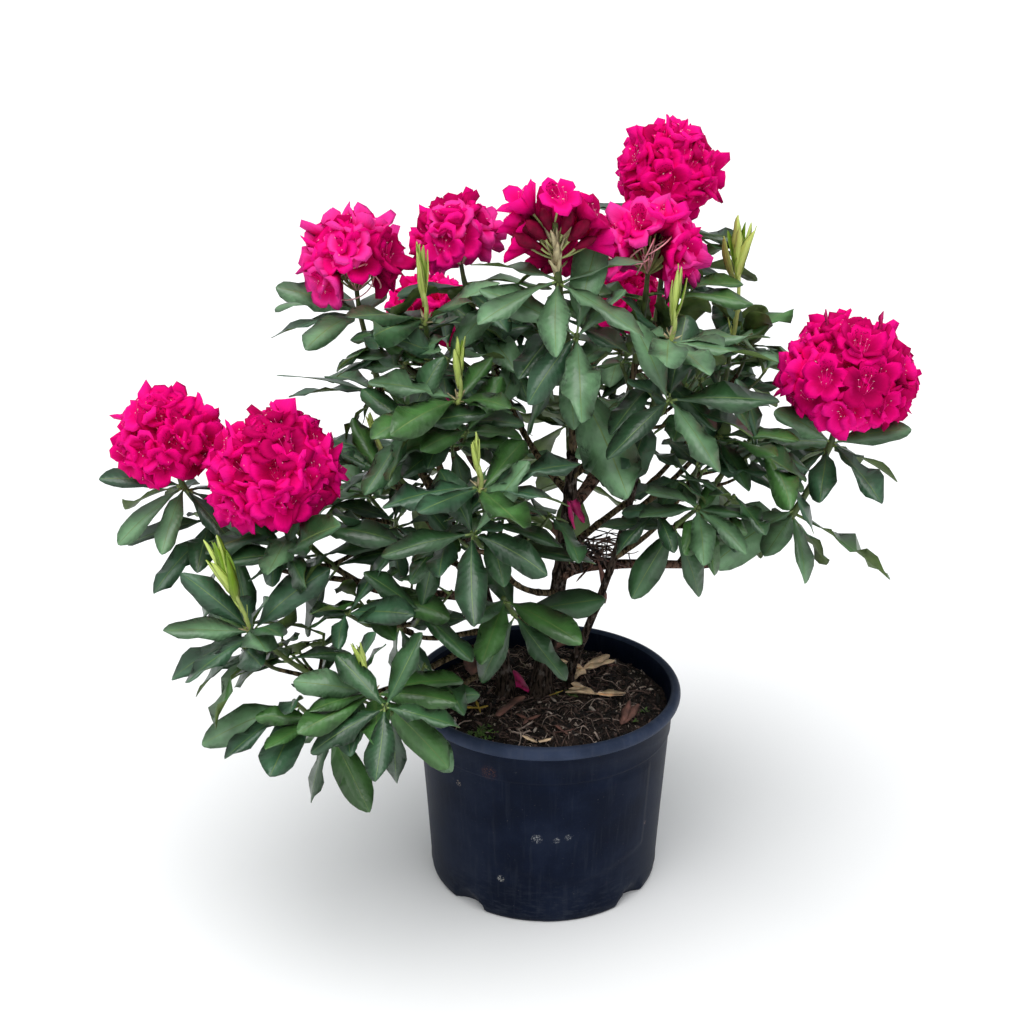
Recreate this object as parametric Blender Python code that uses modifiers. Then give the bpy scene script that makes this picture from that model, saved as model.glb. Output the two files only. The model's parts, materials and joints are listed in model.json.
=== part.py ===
"""A potted rhododendron in flower: pot, potting soil, stems, boughs and masses of foliage.

Blender 4.5, metres, +Z up. The origin is the centre of the pot's flat underside, and -Y is the
side that the plant is looked at from. Every limb leaves its parent 0.3 mm clear, and every mass of
foliage starts 0.3 mm beyond the tip of its bough.
"""

import collections
import math
import random

import bmesh
import bpy
from mathutils import Matrix, Vector
from mathutils.bvhtree import BVHTree

# Pot: a round nursery container with a rolled rim, in metres
POT_RIM_RADIUS = 0.1575
POT_HEIGHT = 0.240
RIM_ROLL = 0.016
BAND_RADIUS = 0.1490
BAND_DROP = 0.033
BAND_STEP = 0.0015
FOOT_RADIUS = 0.1335
FOOT_STEP = 0.003
FOOT_TAPER_HEIGHT = 0.022
WALL = 0.0030
FLOOR = 0.0060
CORNER_WEB = 0.034
POT_SIDES = 32

# Drainage dents at the foot of the wall, and the holes beside them
DENT_COUNT = 4
DENT_AZIMUTH = math.radians(-41)
DENT_RADIUS = 0.034
DENT_TOP_RADIUS = 0.008
DENT_HEIGHT = 0.040
DENT_CENTRE = 0.152
HOLE_RADIUS = 0.007
HOLE_CENTRE = 0.072

# Soil
SOIL_TOP = 0.230
SOIL_FLAT_RADIUS = 0.062
SOIL_EDGE_TOP = 0.214

GAP = 0.0003

# Limbs: BARK_SIDES is the curve's own bevel resolution, which gives six sides
BARK_SIDES = 1
LIMB_STEPS = 5
TIP_SHARE = 0.62
ROOT_FLARE = 0.6
FLARE_HEIGHT = 0.022
STEM_RISE = 0.012
BOUGH_LIFT = 0.35
BOUGH_OUT = 0.38
BOUGH_TURN = 0.30

# Leaves
LEAF_LENGTH = 0.107
LEAF_WIDTH_SHARE = 0.45
LEAF_WIDEST = 0.56
LEAF_FOLD = 0.07
LEAF_THICKNESS = 0.0018
LEAF_DROOP = 0.22
LEVEL_LEAF = 0.2
LEAF_ROLL = 0.6
SHORTEST_LEAF = 0.82
LONGEST_LEAF = 1.12
PITCH_SPREAD = 9
TURN_SPREAD = 0.1
LEAVES_IN_WHORL = 7
LEAVES_IN_SKIRT = 5
LEAVES_ON_SIDE = 5
SIDE_LEAF_SCALE = 0.92
CROWN_PITCH = math.radians(74)
CROWN_PITCH_BLOOM = math.radians(98)
SKIRT_PITCH = math.radians(104)
LEAF_STEP = 0.0016
ROOT_DEPTH = 0.0012
ROOT_SHARE = 0.18
YEAR_OF_GROWTH = 0.105
SKIRT_LEAST = 0.28
STRAIGHT_START = 0.005
SHOOT_HOLD = 0.35
SHOOT_STEPS = 3
UPRIGHT = 1.4
GOLDEN_ANGLE = math.pi * (3 - math.sqrt(5))

# Side shoots: out and up to the middle, then out and up to the tip
SIDE_OUT_MIDDLE = 0.048
SIDE_UP_MIDDLE = 0.012
SIDE_OUT_TIP = 0.064
SIDE_UP_TIP = 0.044
SIDE_SPREAD = 0.9

# Twigs
TWIG_RADIUS = 0.0032
TWIG_TIP_SHARE = 0.75
SIDE_TWIG_SHARE = 0.8

# Flowers
FLORETS = 13
FLORET_REACH = 1.42
FIRST_FLORET = 0.35
FLORET_SPREAD = math.radians(33)
LEAST_REACH = 0.88
SHUT_REACH = 0.78
BUDDING_SHARE = 0.45
TRUSS_CORE = 0.74
TRUSS_SIDES = 13
TRUSS_RINGS = 7
HEART_RISE = 0.92

# New shoots: a closed bud, and a stalk with a tuft of young leaves
CANDLE_LENGTH = 0.065
CANDLE_RADIUS = 0.0062
CANDLE_WIDEST = 0.34
CANDLE_SUNK = 0.008
OPEN_STALK = 0.085
OPEN_SUNK = 0.006
OPEN_LEAVES = 5
OPEN_PITCH = 0.32
OPEN_LEAF_LENGTH = 0.055
OPEN_LEAF_WIDTH = 0.013
OPEN_LEAF_CURL = -0.05

# Space that one mass leaves to the next, and that leaves leave to limbs and to the pot
SPACE_MARGIN = 0.0014
LIMB_MARGIN = 0.0012
POT_MARGIN = 0.003
LOWEST_LEAF = 0.02
HEART_WEIGHT = 0.5
PRISM_SIDES = 6
PRISM_SWELL = 1.16

SEED = 11

# Stems: base on the soil, a point that sets the lean, tip, radius above the flare
STEMS = {
    "main": ((-0.004, -0.010), (0.026, 0.000, 0.400), (0.028, -0.030, 0.535), 0.0100),
    "left": ((-0.045, -0.012), (-0.075, -0.015, 0.370), (-0.098, -0.040, 0.520), 0.0085),
    "right": ((0.028, 0.006), (0.075, -0.052, 0.380), (0.100, -0.072, 0.555), 0.0050),
}

# Boughs: the limb each leaves, how far along it, its base radius, and its tip
BOUGHS = {
    "left": ("left", 0.42, 0.0058, (-0.215, -0.045, 0.392)),
    "far_left": ("bough_left", 0.62, 0.0040, (-0.330, -0.005, 0.402)),
    "low_left": ("left", 0.22, 0.0042, (-0.215, -0.130, 0.300)),
    "low_front": ("left", 0.13, 0.0036, (-0.150, -0.170, 0.296)),
    "low_inner": ("left", 0.28, 0.0036, (-0.150, -0.078, 0.342)),
    "inner_left": ("left", 0.52, 0.0038, (-0.165, 0.050, 0.405)),
    "front_low": ("main", 0.30, 0.0034, (-0.030, -0.082, 0.362)),
    "front": ("main", 0.42, 0.0042, (-0.046, -0.112, 0.438)),
    "mid_left": ("left", 0.72, 0.0040, (-0.145, -0.015, 0.478)),
    "outer_left": ("left", 0.64, 0.0038, (-0.165, 0.100, 0.495)),
    "upper_left_bud": ("left", 0.88, 0.0038, (-0.122, -0.020, 0.600)),
    "upper_left": ("left", 0.80, 0.0044, (-0.176, 0.035, 0.560)),
    "upper_mid": ("main", 0.83, 0.0044, (-0.045, 0.062, 0.570)),
    "top_right": ("main", 0.755, 0.0050, (0.118, 0.092, 0.610)),
    "right_upper": ("main", 0.91, 0.0044, (0.090, 0.000, 0.600)),
    "tall_bud": ("right", 0.74, 0.0036, (0.188, 0.045, 0.550)),
    "right": ("main", 0.50, 0.0060, (0.252, 0.000, 0.425)),
    "right_mid": ("right", 0.60, 0.0034, (0.150, -0.028, 0.490)),
    "right_low": ("bough_right", 0.36, 0.0036, (0.132, -0.076, 0.462)),
    "low_left_front": ("bough_low_left", 0.50, 0.0032, (-0.218, -0.150, 0.262)),
    "low_right": ("bough_right", 0.55, 0.0034, (0.190, 0.085, 0.440)),
    "back_left": ("main", 0.64, 0.0046, (-0.098, 0.165, 0.475)),
    "back": ("main", 0.70, 0.0050, (0.072, 0.180, 0.480)),
    "back_right": ("main", 0.58, 0.0044, (0.172, 0.160, 0.490)),
    "low_back": ("main", 0.36, 0.0042, (0.030, 0.190, 0.400)),
    "low_back_left": ("left", 0.35, 0.0040, (-0.150, 0.150, 0.390)),
}

# Masses: limb below, place of the top whorl, what the shoot ends in, truss radius, side shoots
MASSES = {
    "far_left": ("bough_far_left", (-0.398, -0.030, 0.496), "truss", 0.060, 0),
    "left": ("bough_left", (-0.272, -0.082, 0.470), "truss", 0.074, 2),
    "low_left": ("bough_low_left", (-0.310, -0.165, 0.387), "opening", 0, 1),
    "low_front": ("bough_low_front", (-0.180, -0.212, 0.340), "candle", 0, 1),
    "low_inner": ("bough_low_inner", (-0.192, -0.100, 0.390), "leaves", 0, 2),
    "inner_left": ("bough_inner_left", (-0.205, 0.062, 0.450), "leaves", 0, 1),
    "front_low": ("bough_front_low", (-0.046, -0.128, 0.408), "leaves", 0, 0),
    "front": ("bough_front", (-0.069, -0.172, 0.552), "candle", 0, 1),
    "front_left": ("stem_left", (-0.092, -0.112, 0.624), "candle", 0, 1),
    "mid_left": ("bough_mid_left", (-0.180, -0.030, 0.532), "candle", 0, 1),
    "outer_left": ("bough_outer_left", (-0.205, 0.125, 0.560), "leaves", 0, 0),
    "upper_left_bud": ("bough_upper_left_bud", (-0.128, -0.052, 0.690), "candle", 0, 1),
    "upper_left": ("bough_upper_left", (-0.203, 0.022, 0.678), "truss", 0.060, 0),
    "upper_mid": ("bough_upper_mid", (-0.092, 0.082, 0.694), "truss", 0.052, 1),
    "centre": ("stem_main", (0.008, -0.122, 0.752), "budding", 0.064, 1),
    "top_right": ("bough_top_right", (0.130, 0.100, 0.758), "truss", 0.062, 1),
    "right_upper": ("bough_right_upper", (0.104, 0.000, 0.704), "truss", 0.056, 0),
    "right_bud": ("stem_right", (0.122, -0.112, 0.690), "candle", 0, 2),
    "tall_bud": ("bough_tall_bud", (0.203, 0.052, 0.632), "opening", 0, 1),
    "right": ("bough_right", (0.312, 0.000, 0.537), "truss", 0.080, 0),
    "right_mid": ("bough_right_mid", (0.182, -0.040, 0.560), "leaves", 0, 1),
    "right_low": ("bough_right_low", (0.158, -0.118, 0.508), "leaves", 0, 0),
    "low_left_front": ("bough_low_left_front", (-0.266, -0.180, 0.312), "leaves", 0, 0),
    "low_right": ("bough_low_right", (0.232, 0.105, 0.500), "leaves", 0, 0),
    "back_left": ("bough_back_left", (-0.130, 0.205, 0.570), "truss", 0.056, 0),
    "back": ("bough_back", (0.092, 0.235, 0.570), "truss", 0.056, 0),
    "back_right": ("bough_back_right", (0.215, 0.205, 0.565), "candle", 0, 1),
    "low_back": ("bough_low_back", (0.040, 0.275, 0.455), "leaves", 0, 1),
    "low_back_left": ("bough_low_back_left", (-0.205, 0.215, 0.440), "leaves", 0, 0),
}

# Leaf length against the usual one, where a mass has smaller or larger leaves
LEAF_SCALE = {
    "far_left": 0.95,
    "inner_left": 0.9,
    "low_front": 0.93,
    "low_left": 0.9,
    "low_inner": 0.9,
    "right": 0.8,
    "right_low": 0.75,
}


def material(name, colour, roughness, metallic=0.0):
    """A Principled material of one colour."""
    made = bpy.data.materials.new(name)
    made.use_nodes = True
    shader = made.node_tree.nodes["Principled BSDF"]
    shader.inputs["Base Color"].default_value = (*colour, 1.0)
    shader.inputs["Roughness"].default_value = roughness
    shader.inputs["Metallic"].default_value = metallic
    return made


def new_collection(name):
    made = bpy.data.collections.new(name)
    bpy.context.scene.collection.children.link(made)
    return made


def object_of(name, mesh_data, collection):
    made = bpy.data.objects.new(name, mesh_data)
    collection.objects.link(made)
    return made


def helper(obj):
    """Marks a cutter, which is not part of the plant."""
    obj.hide_render = True
    obj.display_type = "WIRE"
    return obj


def evaluated_mesh(obj):
    """The object's mesh with its modifiers applied."""
    bpy.context.view_layer.update()
    graph = bpy.context.evaluated_depsgraph_get()
    return bpy.data.meshes.new_from_object(obj.evaluated_get(graph), depsgraph=graph)


def bake(obj):
    """Replaces the object's mesh by the evaluated one and drops its modifiers."""
    made = evaluated_mesh(obj)
    obj.modifiers.clear()
    obj.data = made


def cut(obj, cutter):
    modifier = obj.modifiers.new("Cut", "BOOLEAN")
    modifier.operation = "DIFFERENCE"
    modifier.solver = "EXACT"
    modifier.object = cutter


# Pot and soil


def wall_radius(height):
    """Outer radius of the plain wall, a straight taper from the band to the foot."""
    share = (height - FOOT_TAPER_HEIGHT) / (POT_HEIGHT - RIM_ROLL - FOOT_TAPER_HEIGHT)
    return FOOT_RADIUS + FOOT_STEP + share * (BAND_RADIUS - FOOT_RADIUS - FOOT_STEP)


def turned(name, profile, collection):
    """A closed profile of (radius, height) points turned about Z by a Screw modifier."""
    mesh = bpy.data.meshes.new(name)
    points = [(radius, 0.0, height) for radius, height in profile]
    edges = [(i, i + 1) for i in range(len(points) - 1)]
    mesh.from_pydata(points, edges, [])
    obj = object_of(name, mesh, collection)
    screw = obj.modifiers.new("Turn", "SCREW")
    screw.steps = POT_SIDES
    screw.render_steps = POT_SIDES
    screw.use_merge_vertices = True
    screw.merge_threshold = 0.00005
    bake(obj)
    return obj


def pot_profile():
    """The pot's section, down its outer side from the rim and back up its inner side."""
    top = POT_HEIGHT
    rim = POT_RIM_RADIUS
    under = top - RIM_ROLL
    band_foot = under - BAND_DROP
    return [
        (rim - 0.0060, top),
        (rim - 0.0015, top - 0.0025),
        (rim, top - 0.0070),
        (rim - 0.0015, under + 0.0020),
        (rim - 0.0040, under),
        (BAND_RADIUS, under),
        (wall_radius(band_foot), band_foot),
        (wall_radius(band_foot) - BAND_STEP, band_foot - BAND_STEP),
        (wall_radius(FOOT_TAPER_HEIGHT), FOOT_TAPER_HEIGHT),
        (FOOT_RADIUS, 0.0040),
        (FOOT_RADIUS - 0.0050, 0.0),
        (0.0, 0.0),
        (0.0, FLOOR),
        *inner_profile(0.0, under),
        (rim - 0.0125, top - 0.0050),
        (rim - 0.0100, top),
        (rim - 0.0060, top),
    ]


def inner_profile(clearance, top):
    """The inside of the pot, from the floor up to a height, moved inwards by a clearance."""
    web = wall_radius(CORNER_WEB) - WALL
    return [
        (web - CORNER_WEB - clearance, FLOOR + clearance),
        (web - clearance, CORNER_WEB + FLOOR + clearance),
        (wall_radius(top) - BAND_STEP - WALL - clearance, top),
    ]


def around(azimuth, radius, height):
    """A point at an angle from the front, -Y, towards +X."""
    return Vector((radius * math.sin(azimuth), -radius * math.cos(azimuth), height))


def cone(name, low_radius, high_radius, depth, sides, place, collection):
    mesh = bpy.data.meshes.new(name)
    shape = bmesh.new()
    bmesh.ops.create_cone(
        shape, cap_ends=True, segments=sides, radius1=low_radius, radius2=high_radius, depth=depth
    )
    shape.to_mesh(mesh)
    shape.free()
    obj = object_of(name, mesh, collection)
    obj.location = place
    return obj


def make_pot(parts, cutters, plastic):
    pot = turned("pot", pot_profile(), parts)
    for i in range(DENT_COUNT):
        azimuth = DENT_AZIMUTH + i * 2 * math.pi / DENT_COUNT
        dent = cone(
            f"dent_{i}",
            DENT_RADIUS,
            DENT_TOP_RADIUS,
            DENT_HEIGHT,
            12,
            around(azimuth, DENT_CENTRE, DENT_HEIGHT / 2 - 0.002),
            cutters,
        )
        hole = cone(
            f"hole_{i}",
            HOLE_RADIUS,
            HOLE_RADIUS,
            4 * FLOOR,
            10,
            around(azimuth, HOLE_CENTRE, FLOOR / 2),
            cutters,
        )
        cut(pot, helper(dent))
        cut(pot, helper(hole))
    bake(pot)
    pot.data.materials.append(plastic)
    shade_round(pot)
    return pot


def make_soil(parts, soil_material):
    """Potting soil to the inside of the pot, flat about the stems and falling off to the wall."""
    sides = inner_profile(GAP, SOIL_EDGE_TOP)
    edge_radius = sides[-1][0]
    profile = [
        (0.0, SOIL_TOP),
        (SOIL_FLAT_RADIUS, SOIL_TOP),
        (0.75 * edge_radius, SOIL_TOP - 0.004),
        *reversed(sides),
        (0.0, FLOOR + GAP),
    ]
    soil = turned("soil", profile, parts)
    soil.data.materials.append(soil_material)
    return soil


def shade_round(obj):
    obj.data.shade_smooth()
    obj.data.set_sharp_from_angle(angle=math.radians(35))


# Limbs


def bezier(points, share):
    """A point on the cubic or quadratic curve through its end points, by repeated mixing."""
    while len(points) > 1:
        points = [a.lerp(b, share) for a, b in zip(points, points[1:])]
    return points[0]


def curve_through(controls, steps):
    return [bezier(list(controls), i / steps) for i in range(steps + 1)]


def tube(name, points, radii, sides, collection):
    """A tapered tube along points, as a mesh with its caps welded on."""
    curve = bpy.data.curves.new(name, "CURVE")
    curve.dimensions = "3D"
    curve.twist_mode = "MINIMUM"
    curve.bevel_depth = 1.0
    curve.bevel_resolution = sides
    curve.use_fill_caps = True
    if sides == 0:
        curve.bevel_mode = "OBJECT"
        curve.bevel_object = bpy.data.objects["twig_section"]
    spline = curve.splines.new("POLY")
    spline.points.add(len(points) - 1)
    for knot, point, radius in zip(spline.points, points, radii):
        knot.co = (*point, 1.0)
        knot.radius = radius
    holder = object_of(name + "_curve", curve, collection)
    mesh = evaluated_mesh(holder)
    bpy.data.objects.remove(holder)
    shape = bmesh.new()
    shape.from_mesh(mesh)
    bmesh.ops.remove_doubles(shape, verts=shape.verts, dist=0.00001)
    bmesh.ops.recalc_face_normals(shape, faces=shape.faces)
    shape.to_mesh(mesh)
    shape.free()
    mesh.name = name
    return object_of(name, mesh, collection)


def make_twig_section(cutters):
    """The three-sided section that the twigs are drawn with."""
    curve = bpy.data.curves.new("twig_section", "CURVE")
    curve.dimensions = "2D"
    spline = curve.splines.new("POLY")
    spline.points.add(2)
    for i, knot in enumerate(spline.points):
        angle = -i * 2 * math.pi / 3
        knot.co = (math.cos(angle), math.sin(angle), 0.0, 1.0)
    spline.use_cyclic_u = True
    return helper(object_of("twig_section", curve, cutters))


def stem_line(base, lean, tip):
    """From the soil straight up a little, then along the lean to the tip."""
    foot = Vector((*base, SOIL_TOP + GAP))
    rise = Vector((0, 0, STEM_RISE))
    controls = [foot + rise, foot + 3 * rise, Vector(lean), Vector(tip)]
    return [foot, *curve_through(controls, LIMB_STEPS + 2)]


def stem_radii(points, radius):
    """Taper by height, with the root flare added near the soil."""
    low, high = points[0].z, points[-1].z
    radii = []
    for point in points:
        share = (point.z - low) / (high - low)
        flare = ROOT_FLARE * math.exp(-(point.z - low) / FLARE_HEIGHT)
        radii.append(radius * (1 - (1 - TIP_SHARE) * share + flare))
    return radii


def bough_line(start, tip, onwards):
    """Leaves its parent outwards and a little up, and turns up into the shoot that it carries."""
    reach = (tip - start).length
    flat = Vector((tip.x - start.x, tip.y - start.y, 0)).normalized()
    away = (flat + Vector((0, 0, BOUGH_LIFT))).normalized()
    controls = [
        start,
        start + away * reach * BOUGH_OUT,
        tip - onwards * reach * BOUGH_TURN,
        tip,
    ]
    return curve_through(controls, LIMB_STEPS)


def along(points, share):
    """The point a share of the way along a line of points, by its own length."""
    lengths = [(b - a).length for a, b in zip(points, points[1:])]
    left = share * sum(lengths)
    for a, b, length in zip(points, points[1:], lengths):
        if left <= length:
            return a.lerp(b, left / length)
        left -= length
    return points[-1]


def radius_along(limb, share):
    points, radii = limb
    place = share * (len(radii) - 1)
    low = min(int(place), len(radii) - 2)
    return radii[low] + (radii[low + 1] - radii[low]) * (place - low)


def limb_lines():
    """The centre line and radii of every stem and bough, by node name."""
    limbs = {}
    for name, (base, lean, tip, radius) in STEMS.items():
        points = stem_line(base, lean, tip)
        limbs["stem_" + name] = (points, stem_radii(points, radius))
    crowns = {row[0]: Vector(row[1]) for row in MASSES.values()}
    waiting = dict(BOUGHS)
    while waiting:
        for name, (parent, share, radius, tip) in list(waiting.items()):
            parent_name = parent if parent in limbs else "stem_" + parent
            if parent_name not in limbs:
                continue
            start = along(limbs[parent_name][0], share)
            onwards = (crowns["bough_" + name] - Vector(tip)).normalized()
            points = bough_line(start, Vector(tip), onwards)
            radii = [
                radius * (1 - (1 - TIP_SHARE) * i / LIMB_STEPS) for i in range(LIMB_STEPS + 1)
            ]
            limbs["bough_" + name] = (points, radii)
            del waiting[name]
    return limbs


def parent_of(bough):
    parent = BOUGHS[bough][0]
    return parent if parent.startswith("bough_") else "stem_" + parent


def make_limbs(limbs, parts, cutters, bark):
    """Each limb as a tube, cut back from its parent by a copy of the parent that is 0.3 mm fatter."""
    for name, (points, radii) in limbs.items():
        limb = tube(name, points, radii, BARK_SIDES, parts)
        limb.data.materials.append(bark)
        if name.startswith("bough_"):
            parent = parent_of(name.removeprefix("bough_"))
            clear = "clear_" + parent
            if clear not in bpy.data.objects:
                line, thickness = limbs[parent]
                fatter = [radius + GAP for radius in thickness]
                helper(tube(clear, line, fatter, BARK_SIDES, cutters))
            cut(limb, bpy.data.objects[clear])
            bake(limb)
        shade_round(limb)


# The space of each mass


class Space:
    """Which places belong to which mass, and the solids that its leaves keep clear of."""

    def __init__(self, limbs):
        self.sites = {}
        self.taken = {}
        corners, faces = [], []
        for points, radii in limbs.values():
            for a, b, radius in zip(points, points[1:], radii):
                add_prism(corners, faces, a, b, radius + LIMB_MARGIN)
        self.limbs = BVHTree.FromPolygons(corners, faces)
        self.others = None

    def own(self, mass, site, weight=0.0):
        self.sites.setdefault(mass, []).append((site, weight))

    def nearest(self, mass, point):
        return min((point - site).length - weight for site, weight in self.sites[mass])

    def holds(self, mass, point):
        """True where the mass's own sites are nearer than any other mass's, by the margin."""
        limit = self.nearest(mass, point) + 2 * SPACE_MARGIN
        return all(limit < self.nearest(other, point) for other in self.sites if other != mass)

    def clear_of_pot(self, point):
        reach = math.hypot(point.x, point.y)
        if point.z > POT_HEIGHT + POT_MARGIN:
            return True
        return reach > POT_RIM_RADIUS + POT_MARGIN and point.z > LOWEST_LEAF

    def turn_to(self, mass):
        """Gathers what the other masses have grown so far."""
        corners, faces = [], []
        for other, shapes in self.taken.items():
            for shape_corners, shape_faces in shapes if other != mass else ():
                first = len(corners)
                corners.extend(shape_corners)
                faces.extend([first + i for i in face] for face in shape_faces)
        self.others = BVHTree.FromPolygons(corners, faces)

    def take(self, mass, corners, faces):
        self.taken.setdefault(mass, []).append((corners, faces))

    def free(self, corners, faces):
        """True where the shape meets no limb and nothing of another mass."""
        tree = BVHTree.FromPolygons(corners, faces)
        return not tree.overlap(self.limbs) and not tree.overlap(self.others)


def add_prism(corners, faces, a, b, radius):
    """Adds a prism round a segment, in place of the round limb, to lists of corners and faces."""
    first = len(corners)
    count = PRISM_SIDES
    heading = (b - a).normalized()
    side = heading.orthogonal().normalized() * radius * PRISM_SWELL
    for end in (a, b):
        for i in range(count):
            turn = Matrix.Rotation(i * 2 * math.pi / count, 3, heading)
            corners.append(end + turn @ side)
    for i in range(count):
        after = (i + 1) % count
        faces.append([first + i, first + after, first + count + after, first + count + i])
    faces.append([first + i for i in range(count)])
    faces.append([first + count + i for i in range(count)])


# Leaves, twigs and flowers


def frame_of(direction, towards):
    """Axes with X along a direction and Z as near as can be to another one."""
    forward = direction.normalized()
    across = towards.cross(forward).normalized()
    upward = forward.cross(across)
    return Matrix((forward, across, upward)).transposed()


def blade_mesh(length, width, droop):
    """A leaf of eight faces from a four-sided double cone, folded up at its sides and tip down."""
    shape = bmesh.new()
    bmesh.ops.create_uvsphere(shape, u_segments=4, v_segments=2, radius=1)
    for vertex in shape.verts:
        x, y, z = vertex.co
        if abs(z) > 0.5:
            share, side, lift = LEAF_WIDEST, 0.0, math.copysign(LEAF_THICKNESS / 2, z)
        elif abs(x) > 0.5:
            share, side, lift = LEAF_WIDEST, x * width / 2, LEAF_FOLD * width
        else:
            share, side, lift = 0.5 - 0.5 * y, 0.0, 0.0
        vertex.co = (share * length, side, lift - droop * length * share * share)
    bmesh.ops.recalc_face_normals(shape, faces=shape.faces)
    return shape


def truss_mesh(radius, florets):
    """A dome of flowers about the X axis: a ball that swells out under each (direction, reach)."""
    shape = bmesh.new()
    bmesh.ops.create_uvsphere(shape, u_segments=TRUSS_SIDES, v_segments=TRUSS_RINGS, radius=1)
    for vertex in shape.verts:
        way = vertex.co.normalized()
        angle, reach = min((way.angle(direction), reach) for direction, reach in florets)
        swell = max(0.0, 1 - (angle / FLORET_SPREAD) ** 2)
        vertex.co = way * radius * (TRUSS_CORE + (reach - TRUSS_CORE) * swell)
    return shape


def candle_mesh(length, radius):
    """A closed shoot bud from a five-sided double cone."""
    shape = bmesh.new()
    bmesh.ops.create_uvsphere(shape, u_segments=5, v_segments=2, radius=1)
    for vertex in shape.verts:
        x, y, z = vertex.co
        share = (0.5 + 0.5 * z) if abs(z) > 0.5 else CANDLE_WIDEST
        vertex.co = (share * length, x * radius, y * radius)
    bmesh.ops.recalc_face_normals(shape, faces=shape.faces)
    return shape


class Mass:
    """One mass of foliage: the shapes that a Boolean union joins into a node."""

    def __init__(self, name, space, finishes):
        self.name = name
        self.space = space
        self.finishes = finishes
        self.pieces = new_collection("pieces_" + name)
        self.random = random.Random(f"{SEED}-{name}")
        self.count = 0

    def add(self, shape, place, axes, finish):
        mesh = bpy.data.meshes.new("piece")
        shape.to_mesh(mesh)
        shape.free()
        mesh.materials.append(self.finishes[finish])
        mesh.transform(Matrix.Translation(place) @ axes.to_4x4())
        self.take(mesh)
        object_of(f"{self.name}_{self.count}", mesh, self.pieces)
        self.count += 1

    def take(self, mesh):
        corners = [vertex.co.copy() for vertex in mesh.vertices]
        self.space.take(self.name, corners, [list(face.vertices) for face in mesh.polygons])

    def fits(self, shape, place, axes):
        """True if the shape, past its sunk root, stays in the mass's space and meets nothing."""
        shape.verts.index_update()
        corners = [place + axes @ vertex.co for vertex in shape.verts]
        faces = [[vertex.index for vertex in face.verts] for face in shape.faces]
        middles = [sum((corners[i] for i in face), Vector()) / len(face) for face in faces]
        reach = max((corner - place).length for corner in corners)
        tested = [p for p in corners + middles if (p - place).length > ROOT_SHARE * reach]
        return (
            all(self.space.holds(self.name, p) and self.space.clear_of_pot(p) for p in tested)
            and self.space.free(corners, faces)
        )

    def leaf(self, place, azimuth, axis, pitch, length):
        """Tries the leaf at its own place, then turned, raised or shorter, and skips it if none fits."""
        side = axis.orthogonal().normalized()
        for shrink, turn, lift in LEAF_TRIES:
            size = length * shrink
            out = Matrix.Rotation(azimuth + turn, 3, axis) @ side
            angle = pitch + lift
            direction = axis * math.cos(angle) + out * math.sin(angle)
            upward = axis * math.sin(angle) - out * math.cos(angle)
            if abs(upward.z) > LEVEL_LEAF:
                upward = upward + Vector((0, 0, LEAF_ROLL))
            shape = blade_mesh(size, LEAF_WIDTH_SHARE * size, LEAF_DROOP)
            axes = frame_of(direction, upward)
            root = place - direction * ROOT_DEPTH
            if self.fits(shape, root, axes):
                self.add(shape, root, axes, "leaf")
                return
            shape.free()

    def whorl(self, line, share, axis, count, pitch, scale=1.0):
        """Leaves evenly round the shoot, each rooted a step below the last."""
        start = self.random.uniform(0, 2 * math.pi)
        size = LEAF_SCALE.get(self.name, 1.0) * scale
        whole = sum((b - a).length for a, b in zip(line, line[1:]))
        for i in range(count):
            length = LEAF_LENGTH * size * self.random.uniform(SHORTEST_LEAF, LONGEST_LEAF)
            tilt = pitch + math.radians(self.random.uniform(-PITCH_SPREAD, PITCH_SPREAD))
            place = along(line, share - (i + 1) * LEAF_STEP / whole)
            spread = self.random.uniform(-TURN_SPREAD, TURN_SPREAD)
            azimuth = start + i * 2 * math.pi / count + spread
            self.leaf(place, azimuth, axis, tilt, length)

    def truss(self, place, axis, radius, open_share):
        """Flowers by the golden angle from the top down past the widest place; the last stay shut."""
        florets = []
        for i in range(FLORETS):
            polar = math.acos(1 - FLORET_REACH * (i + FIRST_FLORET) / FLORETS)
            turn = i * GOLDEN_ANGLE
            reach = self.random.uniform(LEAST_REACH, 1.0)
            if i < FLORETS * (1 - open_share):
                reach *= SHUT_REACH
            side = math.sin(polar)
            direction = Vector((math.cos(polar), side * math.cos(turn), side * math.sin(turn)))
            florets.append((direction, reach))
        shape = truss_mesh(radius, florets)
        self.add(shape, place, frame_of(axis, axis.orthogonal()), "bloom")

    def twig(self, points, radius):
        """A three-sided twig, added as a ready mesh."""
        radii = [
            radius * (1 - (1 - TWIG_TIP_SHARE) * i / (len(points) - 1)) for i in range(len(points))
        ]
        obj = tube(f"{self.name}_{self.count}", points, radii, 0, self.pieces)
        obj.data.materials.append(self.finishes["twig"])
        self.take(obj.data)
        self.count += 1
        return obj


# Other ways that a leaf is tried: length, turn round the shoot, and pitch
LEAF_TRIES = [
    (shrink, math.radians(turn), math.radians(lift))
    for shrink in (1.0, 0.86, 0.74)
    for turn, lift in ((0, 0), (0, -22), (18, 0), (-18, 0), (0, 20), (30, -15), (-30, -15))
]


Plan = collections.namedtuple(
    "Plan", "line axis heart skirt skirt_share upward kind truss_radius sides"
)


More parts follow.
